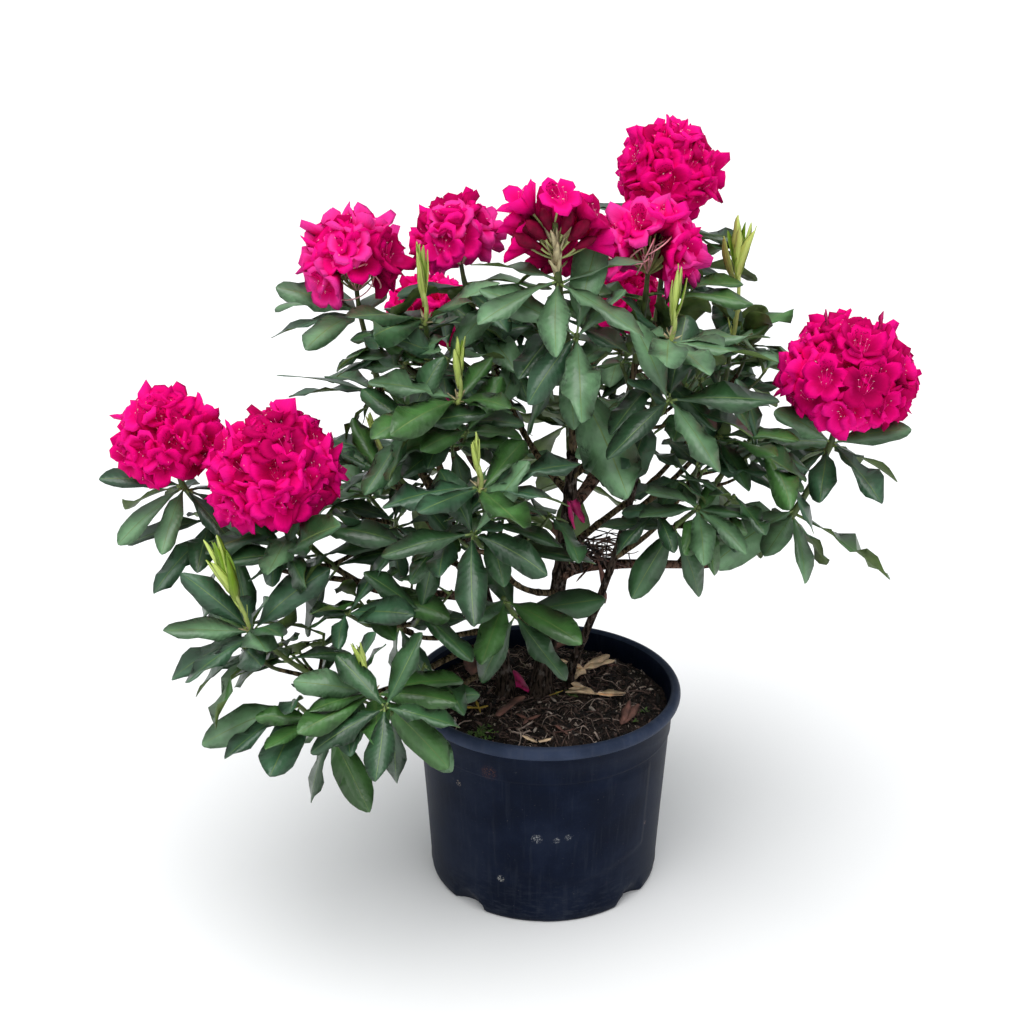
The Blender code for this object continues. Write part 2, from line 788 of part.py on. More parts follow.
def mass_plan(name, limbs):
    """The shoot's line from the bough's tip to the top whorl, and where its whorls and truss are."""
    limb, crown, kind, truss_radius, sides = MASSES[name]
    points = limbs[limb][0]
    tip = points[-1]
    heading = (points[-1] - points[-2]).normalized()
    crown = Vector(crown)
    foot = tip + heading * GAP
    reach = (crown - foot).length
    start = foot + heading * STRAIGHT_START
    middle = foot + heading * reach * SHOOT_HOLD
    line = [foot, *curve_through([start, middle, crown], SHOOT_STEPS)]
    axis = (line[-1] - line[-2]).normalized()
    axis = (axis + Vector((0, 0, UPRIGHT))).normalized()
    heart = crown + axis * truss_radius * HEART_RISE
    skirt_share = max(SKIRT_LEAST, 1 - YEAR_OF_GROWTH / reach)
    skirt = along(line, skirt_share)
    upward = (along(line, skirt_share + 0.1) - along(line, skirt_share - 0.1)).normalized()
    return Plan(line, axis, heart, skirt, skirt_share, upward, kind, truss_radius, sides)


def side_shoots(mass, plan):
    """Short shoots that leave the older whorl by the golden angle and turn up."""
    skirt, axis = plan.skirt, plan.axis
    outward = Vector((skirt.x, skirt.y, 0)).normalized()
    shoots = []
    for i in range(plan.sides):
        angle = mass.random.uniform(-SIDE_SPREAD, SIDE_SPREAD) + i * GOLDEN_ANGLE
        away = Matrix.Rotation(angle, 3, "Z") @ outward
        middle = skirt + away * SIDE_OUT_MIDDLE + axis * SIDE_UP_MIDDLE
        tip = skirt + away * SIDE_OUT_TIP + axis * SIDE_UP_TIP
        shoots.append(curve_through([skirt, middle, tip], 2))
    return shoots


def raise_shoot(mass, plan):
    """The shoot's own twig, and what it ends in."""
    line, axis = plan.line, plan.axis
    tail = [*line, plan.heart] if plan.truss_radius else line
    stem = mass.twig(tail, TWIG_RADIUS)
    if plan.truss_radius:
        open_share = BUDDING_SHARE if plan.kind == "budding" else 1.0
        mass.truss(plan.heart, axis, plan.truss_radius, open_share)
    if plan.kind == "candle":
        place = line[-1] - axis * CANDLE_SUNK
        shape = candle_mesh(CANDLE_LENGTH, CANDLE_RADIUS)
        mass.add(shape, place, frame_of(axis, axis.orthogonal()), "shoot")
    if plan.kind == "opening":
        open_shoot(mass, line[-1], axis)
    return stem


def leaf_out(mass, plan, shoots):
    """The whorls of leaves at the crown, at last year's growth below it, and on the side shoots."""
    mass.space.turn_to(mass.name)
    spread = CROWN_PITCH_BLOOM if plan.truss_radius else CROWN_PITCH
    mass.whorl(plan.line, 1.0, plan.axis, LEAVES_IN_WHORL, spread)
    mass.whorl(plan.line, plan.skirt_share, plan.upward, LEAVES_IN_SKIRT, SKIRT_PITCH)
    for shoot in shoots:
        radius = TWIG_RADIUS * SIDE_TWIG_SHARE
        corners, faces = [], []
        add_prism(corners, faces, shoot[1], shoot[2], radius + LIMB_MARGIN)
        if not mass.space.free(corners, faces):
            continue
        mass.twig(shoot, radius)
        heading = (shoot[-1] - shoot[-2]).normalized()
        mass.whorl(shoot, 1.0, heading, LEAVES_ON_SIDE, CROWN_PITCH, SIDE_LEAF_SCALE)


def open_shoot(mass, place, axis):
    """A new shoot with a tuft of young leaves that stand nearly upright."""
    top = place + axis * OPEN_STALK
    mass.twig([place - axis * OPEN_SUNK, top], TWIG_RADIUS * SIDE_TWIG_SHARE)
    side = axis.orthogonal().normalized()
    for i in range(OPEN_LEAVES):
        out = Matrix.Rotation(i * GOLDEN_ANGLE, 3, axis) @ side
        direction = axis * math.cos(OPEN_PITCH) + out * math.sin(OPEN_PITCH)
        shape = blade_mesh(OPEN_LEAF_LENGTH, OPEN_LEAF_WIDTH, OPEN_LEAF_CURL)
        mass.add(shape, top - axis * (i + 1) * LEAF_STEP, frame_of(direction, -out), "shoot")


def keep_largest(mesh):
    """Only the largest closed surface stays: loose scraps go, and sealed hollows are filled."""
    shape = bmesh.new()
    shape.from_mesh(mesh)
    waiting = set(shape.faces)
    bodies = []
    while waiting:
        front = [waiting.pop()]
        body = list(front)
        while front:
            near = {other for edge in front.pop().edges for other in edge.link_faces} & waiting
            waiting -= near
            front.extend(near)
            body.extend(near)
        bodies.append(body)
    bodies.sort(key=lambda body: sum(face.calc_area() for face in body))
    scraps = [face for body in bodies[:-1] for face in body]
    bmesh.ops.delete(shape, geom=scraps, context="FACES")
    shape.to_mesh(mesh)
    shape.free()


def union(stem, mass, parts):
    """One Boolean union on the collection of pieces, applied, after which the pieces are removed."""
    mass.pieces.objects.unlink(stem)
    parts.objects.link(stem)
    stem.name = "foliage_" + mass.name
    modifier = stem.modifiers.new("Fuse", "BOOLEAN")
    modifier.operation = "UNION"
    modifier.operand_type = "COLLECTION"
    modifier.collection = mass.pieces
    modifier.solver = "EXACT"
    modifier.material_mode = "TRANSFER"
    bake(stem)
    keep_largest(stem.data)
    for piece in list(mass.pieces.objects):
        bpy.data.objects.remove(piece)
    bpy.data.collections.remove(mass.pieces)


def make_masses(limbs, parts, finishes):
    space = Space(limbs)
    plans = {name: mass_plan(name, limbs) for name in MASSES}
    masses = {name: Mass(name, space, finishes) for name in MASSES}
    shoots = {name: side_shoots(masses[name], plans[name]) for name in MASSES}
    for name, plan in plans.items():
        for site in (plan.line[0], plan.skirt, plan.line[-1]):
            space.own(name, site)
        if plan.truss_radius:
            space.own(name, plan.heart, HEART_WEIGHT * plan.truss_radius)
        for shoot in shoots[name]:
            space.own(name, shoot[-1])
    stems = {name: raise_shoot(mass, plans[name]) for name, mass in masses.items()}
    for name, mass in masses.items():
        leaf_out(mass, plans[name], shoots[name])
    for name, mass in masses.items():
        union(stems[name], mass, parts)


def clear_scene():
    for obj in list(bpy.data.objects):
        bpy.data.objects.remove(obj)


def main():
    clear_scene()
    parts = new_collection("potted_rhododendron")
    cutters = new_collection("cutters")
    plastic = material("pot_plastic", (0.018, 0.021, 0.032), 0.5)
    peat = material("peat", (0.035, 0.022, 0.016), 0.95)
    bark = material("bark", (0.075, 0.045, 0.032), 0.85)
    finishes = {
        "leaf": material("leaf", (0.035, 0.105, 0.045), 0.5),
        "twig": material("green_twig", (0.09, 0.13, 0.03), 0.6),
        "shoot": material("young_shoot", (0.30, 0.42, 0.08), 0.5),
        "bloom": material("bloom", (0.80, 0.0, 0.16), 0.5),
    }
    make_twig_section(cutters)
    make_pot(parts, cutters, plastic)
    make_soil(parts, peat)
    limbs = limb_lines()
    make_limbs(limbs, parts, cutters, bark)
    make_masses(limbs, parts, finishes)


if __name__ == "__main__":
    main()
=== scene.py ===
"""Looks of a potted rhododendron in flower, laid out as a Blender 4.5 add-on and run as a script.

Metres, +Z up, -Y towards the viewer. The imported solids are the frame. Pot, soil, limbs and masses
of foliage are each replaced by a finer mesh, grown by the same rule in the same place.
"""

import functools
import json
import math
import random
from collections import namedtuple

import bmesh
import bpy
import numpy as np
from mathutils import Matrix, Vector
from mathutils.bvhtree import BVHTree

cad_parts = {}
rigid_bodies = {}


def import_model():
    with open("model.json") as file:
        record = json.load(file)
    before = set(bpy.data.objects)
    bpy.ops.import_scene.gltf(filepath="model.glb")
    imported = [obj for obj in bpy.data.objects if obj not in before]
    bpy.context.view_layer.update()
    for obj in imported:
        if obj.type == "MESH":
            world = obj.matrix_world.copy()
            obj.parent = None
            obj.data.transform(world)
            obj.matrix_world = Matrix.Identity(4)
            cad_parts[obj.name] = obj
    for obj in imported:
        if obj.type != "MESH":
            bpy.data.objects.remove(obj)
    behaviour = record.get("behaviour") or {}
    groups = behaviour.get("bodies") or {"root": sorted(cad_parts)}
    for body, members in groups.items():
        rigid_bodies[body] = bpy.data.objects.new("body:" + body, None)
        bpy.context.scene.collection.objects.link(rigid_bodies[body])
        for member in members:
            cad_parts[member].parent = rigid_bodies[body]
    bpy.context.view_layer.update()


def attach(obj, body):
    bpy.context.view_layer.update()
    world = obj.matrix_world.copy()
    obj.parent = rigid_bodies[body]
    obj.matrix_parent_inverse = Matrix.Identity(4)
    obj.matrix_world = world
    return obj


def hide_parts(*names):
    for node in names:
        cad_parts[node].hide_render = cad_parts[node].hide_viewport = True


bl_info = {
    "name": "Potted rhododendron",
    "version": (1, 0, 0),
    "blender": (4, 5, 0),
    "location": "3D View > Sidebar > Plant",
    "description": "Grows the leaves, flowers, limbs, soil and pot of a potted rhododendron",
    "category": "Add Mesh",
}

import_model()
UP = Vector((0, 0, 1))
TURN = 2 * math.pi
GOLDEN_ANGLE = math.pi * (3 - math.sqrt(5))

# The growing rule's own sizes, as in the solids
SEED = 11
GAP = 0.0003
SOIL_TOP = 0.230
LIMB_STEPS = 5
TIP_SHARE = 0.62
ROOT_FLARE = 0.6
FLARE_HEIGHT = 0.022
STEM_RISE = 0.012
BOUGH_LIFT, BOUGH_OUT, BOUGH_TURN = 0.35, 0.38, 0.30
LEAF_LENGTH = 0.107
LEAF_WIDTH_SHARE = 0.45
LEAF_WIDEST = 0.56
LEAF_FOLD = 0.07
LEAF_THICKNESS = 0.0018
LEAF_DROOP = 0.22
LEVEL_LEAF, LEAF_ROLL = 0.2, 0.6
SHORTEST_LEAF, LONGEST_LEAF = 0.82, 1.12
PITCH_SPREAD, TURN_SPREAD = 9, 0.1
LEAVES_IN_WHORL, LEAVES_IN_SKIRT, LEAVES_ON_SIDE = 7, 5, 5
SIDE_LEAF_SCALE = 0.92
CROWN_PITCH, CROWN_PITCH_BLOOM, SKIRT_PITCH = (math.radians(a) for a in (74, 98, 104))
LEAF_STEP = 0.0016
ROOT_DEPTH = 0.0012
ROOT_SHARE = 0.18
YEAR_OF_GROWTH = 0.105
SKIRT_LEAST = 0.28
STRAIGHT_START = 0.005
SHOOT_HOLD = 0.35
SHOOT_STEPS = 3
UPRIGHT = 1.4
SIDE_OUT_MIDDLE, SIDE_UP_MIDDLE = 0.048, 0.012
SIDE_OUT_TIP, SIDE_UP_TIP = 0.064, 0.044
SIDE_SPREAD = 0.9
TWIG_RADIUS = 0.0032
SIDE_TWIG_SHARE = 0.8
TWIG_TIP_SHARE = 0.75
FLORETS = 13
FLORET_REACH, FIRST_FLORET, LEAST_REACH = 1.42, 0.35, 0.88
FLORET_SPREAD = math.radians(33)
SHUT_REACH, BUDDING_SHARE = 0.78, 0.45
TRUSS_CORE, TRUSS_SIDES, TRUSS_RINGS = 0.74, 13, 7
HEART_RISE = 0.92
CANDLE_LENGTH, CANDLE_RADIUS, CANDLE_WIDEST, CANDLE_SUNK = 0.065, 0.0062, 0.34, 0.008
OPEN_STALK, OPEN_SUNK, OPEN_LEAVES, OPEN_PITCH = 0.085, 0.006, 5, 0.32
OPEN_LEAF_LENGTH, OPEN_LEAF_WIDTH, OPEN_LEAF_CURL = 0.055, 0.013, -0.05
SPACE_MARGIN, LIMB_MARGIN, POT_MARGIN, LOWEST_LEAF = 0.0014, 0.0012, 0.003, 0.02
HEART_WEIGHT = 0.5
PRISM_SIDES, PRISM_SWELL = 6, 1.16
POT_RIM_RADIUS = 0.1575
POT_HEIGHT = 0.240

# Stems: base on the soil, a point that sets the lean, tip, radius above the flare
STEMS = {
    "main": ((-0.004, -0.010), (0.026, 0.000, 0.400), (0.028, -0.030, 0.535), 0.0100),
    "left": ((-0.045, -0.012), (-0.075, -0.015, 0.370), (-0.098, -0.040, 0.520), 0.0085),
    "right": ((0.028, 0.006), (0.075, -0.052, 0.380), (0.100, -0.072, 0.555), 0.0050),
}

# Boughs: the limb each leaves, how far along it, its base radius, and its tip
BOUGHS = {
    "left": ("left", 0.42, 0.0058, (-0.215, -0.045, 0.392)),
    "far_left": ("bough_left", 0.62, 0.0040, (-0.330, -0.005, 0.402)),
    "low_left": ("left", 0.22, 0.0042, (-0.215, -0.130, 0.300)),
    "low_front": ("left", 0.13, 0.0036, (-0.150, -0.170, 0.296)),
    "low_inner": ("left", 0.28, 0.0036, (-0.150, -0.078, 0.342)),
    "inner_left": ("left", 0.52, 0.0038, (-0.165, 0.050, 0.405)),
    "front_low": ("main", 0.30, 0.0034, (-0.030, -0.082, 0.362)),
    "front": ("main", 0.42, 0.0042, (-0.046, -0.112, 0.438)),
    "mid_left": ("left", 0.72, 0.0040, (-0.145, -0.015, 0.478)),
    "outer_left": ("left", 0.64, 0.0038, (-0.165, 0.100, 0.495)),
    "upper_left_bud": ("left", 0.88, 0.0038, (-0.122, -0.020, 0.600)),
    "upper_left": ("left", 0.80, 0.0044, (-0.176, 0.035, 0.560)),
    "upper_mid": ("main", 0.83, 0.0044, (-0.045, 0.062, 0.570)),
    "top_right": ("main", 0.755, 0.0050, (0.118, 0.092, 0.610)),
    "right_upper": ("main", 0.91, 0.0044, (0.090, 0.000, 0.600)),
    "tall_bud": ("right", 0.74, 0.0036, (0.188, 0.045, 0.550)),
    "right": ("main", 0.50, 0.0060, (0.252, 0.000, 0.425)),
    "right_mid": ("right", 0.60, 0.0034, (0.150, -0.028, 0.490)),
    "right_low": ("bough_right", 0.36, 0.0036, (0.132, -0.076, 0.462)),
    "low_left_front": ("bough_low_left", 0.50, 0.0032, (-0.218, -0.150, 0.262)),
    "low_right": ("bough_right", 0.55, 0.0034, (0.190, 0.085, 0.440)),
    "back_left": ("main", 0.64, 0.0046, (-0.098, 0.165, 0.475)),
    "back": ("main", 0.70, 0.0050, (0.072, 0.180, 0.480)),
    "back_right": ("main", 0.58, 0.0044, (0.172, 0.160, 0.490)),
    "low_back": ("main", 0.36, 0.0042, (0.030, 0.190, 0.400)),
    "low_back_left": ("left", 0.35, 0.0040, (-0.150, 0.150, 0.390)),
}

# Masses: place of the top whorl, what the shoot ends in, truss radius, side shoots
MASSES = {
    "far_left": ((-0.398, -0.030, 0.496), "truss", 0.060, 0),
    "left": ((-0.272, -0.082, 0.470), "truss", 0.074, 2),
    "low_left": ((-0.310, -0.165, 0.387), "opening", 0, 1),
    "low_front": ((-0.180, -0.212, 0.340), "candle", 0, 1),
    "low_inner": ((-0.192, -0.100, 0.390), "leaves", 0, 2),
    "inner_left": ((-0.205, 0.062, 0.450), "leaves", 0, 1),
    "front_low": ((-0.046, -0.128, 0.408), "leaves", 0, 0),
    "front": ((-0.069, -0.172, 0.552), "candle", 0, 1),
    "front_left": ((-0.092, -0.112, 0.624), "candle", 0, 1),
    "mid_left": ((-0.180, -0.030, 0.532), "candle", 0, 1),
    "outer_left": ((-0.205, 0.125, 0.560), "leaves", 0, 0),
    "upper_left_bud": ((-0.128, -0.052, 0.690), "candle", 0, 1),
    "upper_left": ((-0.203, 0.022, 0.678), "truss", 0.060, 0),
    "upper_mid": ((-0.092, 0.082, 0.694), "truss", 0.052, 1),
    "centre": ((0.008, -0.122, 0.752), "budding", 0.064, 1),
    "top_right": ((0.130, 0.100, 0.758), "truss", 0.062, 1),
    "right_upper": ((0.104, 0.000, 0.704), "truss", 0.056, 0),
    "right_bud": ((0.122, -0.112, 0.690), "candle", 0, 2),
    "tall_bud": ((0.203, 0.052, 0.632), "opening", 0, 1),
    "right": ((0.312, 0.000, 0.537), "truss", 0.080, 0),
    "right_mid": ((0.182, -0.040, 0.560), "leaves", 0, 1),
    "right_low": ((0.158, -0.118, 0.508), "leaves", 0, 0),
    "low_left_front": ((-0.266, -0.180, 0.312), "leaves", 0, 0),
    "low_right": ((0.232, 0.105, 0.500), "leaves", 0, 0),
    "back_left": ((-0.130, 0.205, 0.570), "truss", 0.056, 0),
    "back": ((0.092, 0.235, 0.570), "truss", 0.056, 0),
    "back_right": ((0.215, 0.205, 0.565), "candle", 0, 1),
    "low_back": ((0.040, 0.275, 0.455), "leaves", 0, 1),
    "low_back_left": ((-0.205, 0.215, 0.440), "leaves", 0, 0),
}
# The masses that end a stem; every other one ends the bough of the same name
STEM_MASSES = {"front_left": "stem_left", "centre": "stem_main", "right_bud": "stem_right"}

# Leaf length against the usual one, where a mass has smaller leaves
LEAF_SCALE = {
    "far_left": 0.95, "inner_left": 0.9, "low_front": 0.93, "low_left": 0.9, "low_inner": 0.9,
    "right": 0.8, "right_low": 0.75,
}

# Growth that is finer than the solids': step down from the whorl above, leaves, side shoots
FINE_STEP = 0.052
FINE_WHORL = 5
FINE_PITCH = math.radians(88)
FINE_SHOOTS = 7
FINE_APART = 0.1
BETWEEN_SCALE, OLDEST_SCALE, FINE_SCALE = 0.86, 0.90, 0.8
FINE_SIZES, FINE_FEET = (0.55, 0.95), (0.45, 1.0)
FINE_TWIG_SHARE = 0.62
FINE_STEPS = 30

# Small side shoots tried, where a mass is more open than the others
OPEN_MASSES = {
    "right": 0, "outer_left": 0, "upper_left": 0, "front_low": 0,
    "low_right": 2, "top_right": 1, "far_left": 1,
}

# Which part of the crown a mass is in, by the place of its top whorl
BACK_OF_CROWN, LEFT_OF_CROWN, RIGHT_OF_CROWN = 0.15, -0.15, 0.1

# The side on which most of a truss's flowers have dropped, where it is past its best, and how far
# round it in degrees
SPENT_SIDES = {
    "upper_left": ((0.44, -0.72, -0.48), 54),
    "upper_mid": ((0.46, -0.76, -0.38), 50),
    "right_upper": ((-0.10, -0.97, 0.30), 42),
}
SPENT_SHARE = 0.92

NOTABLE_FACING, EDGE_FACING = Vector((0, -0.7, 1)), Vector((0.33, -0.06, 1.04))
# Leaves that stand out: the mass, how far along its shoot they grow, the tip, and the kind. A pale
# leaf is all painted sheen: the leaf colour lightened and greyed as if it reflected the sky
NOTABLE_LEAVES = [
    ("right", 0.28, (0.372, -0.062, 0.398), "edge"),
    ("right", 0.32, (0.190, -0.070, 0.425), "pale"),
    ("centre", 0.42, (0.076, -0.186, 0.556), "pale"),
    ("low_front", 0.98, (-0.106, -0.232, 0.256), "skirt"),
    ("far_left", 0.40, (-0.428, -0.080, 0.404), "skirt"),
    ("far_left", 0.98, (-0.474, -0.060, 0.512), "skirt"),
    ("low_left", 0.98, (-0.371, -0.180, 0.448), "skirt"),
    ("low_left", 0.97, (-0.233, -0.150, 0.451), "skirt"),
    ("low_left", 0.96, (-0.394, -0.190, 0.385), "crown"),
    ("low_left_front", 0.90, (-0.354, -0.215, 0.277), "skirt"),
    ("low_front", 0.97, (-0.254, -0.240, 0.354), "crown"),
    ("right", 0.985, (0.247, -0.030, 0.582), "pale"),
    ("right", 0.980, (0.385, -0.030, 0.560), "skirt"),
    ("upper_left", 0.985, (-0.289, 0.000, 0.700), "pale"),
    ("right_mid", 0.97, (0.208, -0.090, 0.518), "crown"),
]


# The growing rule: limbs


def bezier(points, share):
    """A point on the curve through its end points, by repeated mixing of neighbours."""
    while len(points) > 1:
        points = [a.lerp(b, share) for a, b in zip(points, points[1:])]
    return points[0]


def curve_through(controls, steps):
    return [bezier(controls, i / steps) for i in range(steps + 1)]


def steps_of(points):
    """Lengths of the stretches of a line of points."""
    return [(b - a).length for a, b in zip(points, points[1:])]


def heading_of(points):
    """The way in which a line of points ends."""
    return (points[-1] - points[-2]).normalized()


def along(points, share):
    """The point a share of the way along a line of points, by its own length."""
    lengths = steps_of(points)
    left = share * sum(lengths)
    for a, b, length in zip(points, points[1:], lengths):
        if left <= length:
            return a.lerp(b, left / length)
        left -= length
    return points[-1]


def stem_line(base, lean, tip, steps):
    """From the soil straight up a little, then along the lean to the tip."""
    foot = Vector((*base, SOIL_TOP + GAP))
    rise = Vector((0, 0, STEM_RISE))
    controls = [foot + rise, foot + 3 * rise, Vector(lean), Vector(tip)]
    return [foot, *curve_through(controls, steps)]


def bough_controls(start, tip, onwards):
    """Leaves its parent outwards and a little up, and turns up into the shoot that it carries."""
    reach = (tip - start).length
    flat = Vector((tip.x - start.x, tip.y - start.y, 0)).normalized()
    away = (flat + Vector((0, 0, BOUGH_LIFT))).normalized()
    return [start, start + away * reach * BOUGH_OUT, tip - onwards * reach * BOUGH_TURN, tip]


def stem_radii(points, radius):
    """Taper by height, with the root flare added near the soil."""
    low, high = points[0].z, points[-1].z
    radii = []
    for point in points:
        share = (point.z - low) / (high - low)
        flare = ROOT_FLARE * math.exp(-(point.z - low) / FLARE_HEIGHT)
        radii.append(radius * (1 - (1 - TIP_SHARE) * share + flare))
    return radii


def bough_radii(points, radius):
    count = len(points) - 1
    return [radius * (1 - (1 - TIP_SHARE) * i / count) for i in range(count + 1)]


Limb = namedtuple("Limb", "points radii fine parent")


def limb_lines(fine_steps):
    """Every stem and bough: the solid's points and radii, a finer line, and the parent's name."""
    limbs = {}
    for name, (base, lean, tip, radius) in STEMS.items():
        points = stem_line(base, lean, tip, LIMB_STEPS + 2)
        fine = stem_line(base, lean, tip, fine_steps)
        limbs["stem_" + name] = Limb(points, stem_radii(points, radius), fine, None)
    waiting = dict(BOUGHS)
    while waiting:
        for name, (parent, share, radius, tip) in list(waiting.items()):
            parent_name = parent if parent in limbs else "stem_" + parent
            if parent_name not in limbs:
                continue
            start = along(limbs[parent_name].points, share)
            onwards = (Vector(MASSES[name][0]) - Vector(tip)).normalized()
            controls = bough_controls(start, Vector(tip), onwards)
            points = curve_through(controls, LIMB_STEPS)
            fine = curve_through(controls, fine_steps)
            limbs["bough_" + name] = Limb(points, bough_radii(points, radius), fine, parent_name)
            del waiting[name]
    return limbs


# The growing rule: the space of each mass


def prisms(stretches):
    """Corners and faces of a prism round each (from, to, radius), in place of a round limb."""
    corners, faces = [], []
    count = PRISM_SIDES
    for a, b, radius in stretches:
        first = len(corners)
        heading = (b - a).normalized()
        side = heading.orthogonal().normalized() * radius * PRISM_SWELL
        for end in (a, b):
            for i in range(count):
                corners.append(end + Matrix.Rotation(i * TURN / count, 3, heading) @ side)
        for i in range(count):
            after = (i + 1) % count
            faces.append([first + i, first + after, first + count + after, first + count + i])
        faces.append([first + i for i in range(count)])
        faces.append([first + count + i for i in range(count)])
    return corners, faces


def moulded_ball(sides, rings, place, axes, mould):
    """Corners and faces of a coarse ball whose every corner is moved by a function."""
    shape = bmesh.new()
    bmesh.ops.create_uvsphere(shape, u_segments=sides, v_segments=rings, radius=1)
    shape.verts.index_update()
    corners = [place + axes @ mould(vertex.co) for vertex in shape.verts]
    faces = [[vertex.index for vertex in face.verts] for face in shape.faces]
    shape.free()
    return corners, faces


def truss_dome(place, axes, radius, florets):
    """The solid truss: a ball that swells out under each (direction, reach)."""

    def mould(corner):
        way = corner.normalized()
        angle, reach = min((way.angle(direction), reach) for direction, reach in florets)
        swell = max(0.0, 1 - (angle / FLORET_SPREAD) ** 2)
        return way * radius * (TRUSS_CORE + (reach - TRUSS_CORE) * swell)

    return moulded_ball(TRUSS_SIDES, TRUSS_RINGS, place, axes, mould)


def candle_spindle(place, axes):
    """The solid closed shoot: a five-sided double cone."""

    def mould(corner):
        share = (0.5 + 0.5 * corner.z) if abs(corner.z) > 0.5 else CANDLE_WIDEST
        return Vector((share * CANDLE_LENGTH, corner.x * CANDLE_RADIUS, corner.y * CANDLE_RADIUS))

    return moulded_ball(5, 2, place, axes, mould)


class Space:
    """Which places belong to which mass, and the solids that its leaves keep clear of."""

    def __init__(self, limbs):
        self.sites, self.taken = {}, {}
        self.others = None
        stretches = []
        for limb in limbs.values():
            for a, b, radius in zip(limb.points, limb.points[1:], limb.radii):
                stretches.append((a, b, radius + LIMB_MARGIN))
        self.limbs = BVHTree.FromPolygons(*prisms(stretches))

    def own(self, mass, site, weight=0.0):
        self.sites.setdefault(mass, []).append((site, weight))

    def nearest(self, mass, point):
        return min((point - site).length - weight for site, weight in self.sites[mass])

    def holds(self, mass, point):
        """True where the mass's own sites are nearer than any other mass's, by the margin."""
        limit = self.nearest(mass, point) + 2 * SPACE_MARGIN
        return all(limit < self.nearest(other, point) for other in self.sites if other != mass)

    def clear_of_pot(self, point):
        if point.z > POT_HEIGHT + POT_MARGIN:
            return True
        reach = math.hypot(point.x, point.y)
        return reach > POT_RIM_RADIUS + POT_MARGIN and point.z > LOWEST_LEAF

    def turn_to(self, mass):
        """Gathers what the other masses have grown so far."""
        corners, faces = [], []
        for other, shapes in self.taken.items():
            for shape_corners, shape_faces in shapes if other != mass else ():
                first = len(corners)
                corners.extend(shape_corners)
                faces.extend([first + i for i in face] for face in shape_faces)
        self.others = BVHTree.FromPolygons(corners, faces)

    def take(self, mass, shape):
        self.taken.setdefault(mass, []).append(shape)

    def free(self, shape):
        """True where the shape, corners and faces, meets no limb and nothing of another mass."""
        tree = BVHTree.FromPolygons(*shape)
        return not tree.overlap(self.limbs) and not tree.overlap(self.others)


# The growing rule: shoots and leaves

LEAF_TRIES = [
    (shrink, math.radians(turn), math.radians(lift))
    for shrink in (1.0, 0.86, 0.74)
    for turn, lift in ((0, 0), (0, -22), (18, 0), (-18, 0), (0, 20), (30, -15), (-30, -15))
]
BLADE_FACES = [
    (0, 2, 4), (0, 4, 3), (3, 4, 1), (1, 4, 2), (0, 5, 2), (0, 3, 5), (3, 1, 5), (1, 2, 5)
]

Plan = namedtuple("Plan", "line axis heart skirt skirt_share upward kind truss_radius sides")
Leaf = namedtuple("Leaf", "kind spray root axes length")
Twig = namedtuple("Twig", "kind points radius")
Truss = namedtuple("Truss", "mass kind heart axis radius reaches")
Shoot = namedtuple("Shoot", "mass place axis")


def frame_of(direction, towards):
    """Axes with X along a direction and Z as near as can be to another one."""
    forward = direction.normalized()
    across = towards.cross(forward).normalized()
    upward = forward.cross(across)
    return Matrix((forward, across, upward)).transposed()


def frame_about(axis):
    """Axes with X along an axis, turned about it in any one way."""
    return frame_of(axis, axis.orthogonal())


def blade_corners(length, width, droop):
    """The solid leaf's six corners: root, tip, two sides, above and below the widest place."""
    sag = -droop * length * LEAF_WIDEST**2
    middle = LEAF_WIDEST * length
    return [
        Vector((0, 0, 0)),
        Vector((length, 0, -droop * length)),
        Vector((middle, width / 2, sag + LEAF_FOLD * width)),
        Vector((middle, -width / 2, sag + LEAF_FOLD * width)),
        Vector((middle, 0, sag + LEAF_THICKNESS / 2)),
        Vector((middle, 0, sag - LEAF_THICKNESS / 2)),
    ]


def mass_plan(name, limbs):
    """The shoot's line from the limb's tip to the top whorl, and where its whorls and truss are."""
    crown, kind, truss_radius, sides = MASSES[name]
    points = limbs[STEM_MASSES.get(name, "bough_" + name)].points
    heading = heading_of(points)
    crown = Vector(crown)
    foot = points[-1] + heading * GAP
    reach = (crown - foot).length
    start = foot + heading * STRAIGHT_START
    middle = foot + heading * reach * SHOOT_HOLD
    line = [foot, *curve_through([start, middle, crown], SHOOT_STEPS)]
    axis = (heading_of(line) + UPRIGHT * UP).normalized()
    heart = crown + axis * truss_radius * HEART_RISE
    skirt_share = max(SKIRT_LEAST, 1 - YEAR_OF_GROWTH / reach)
    skirt = along(line, skirt_share)
    upward = (along(line, skirt_share + 0.1) - along(line, skirt_share - 0.1)).normalized()
    return Plan(line, axis, heart, skirt, skirt_share, upward, kind, truss_radius, sides)


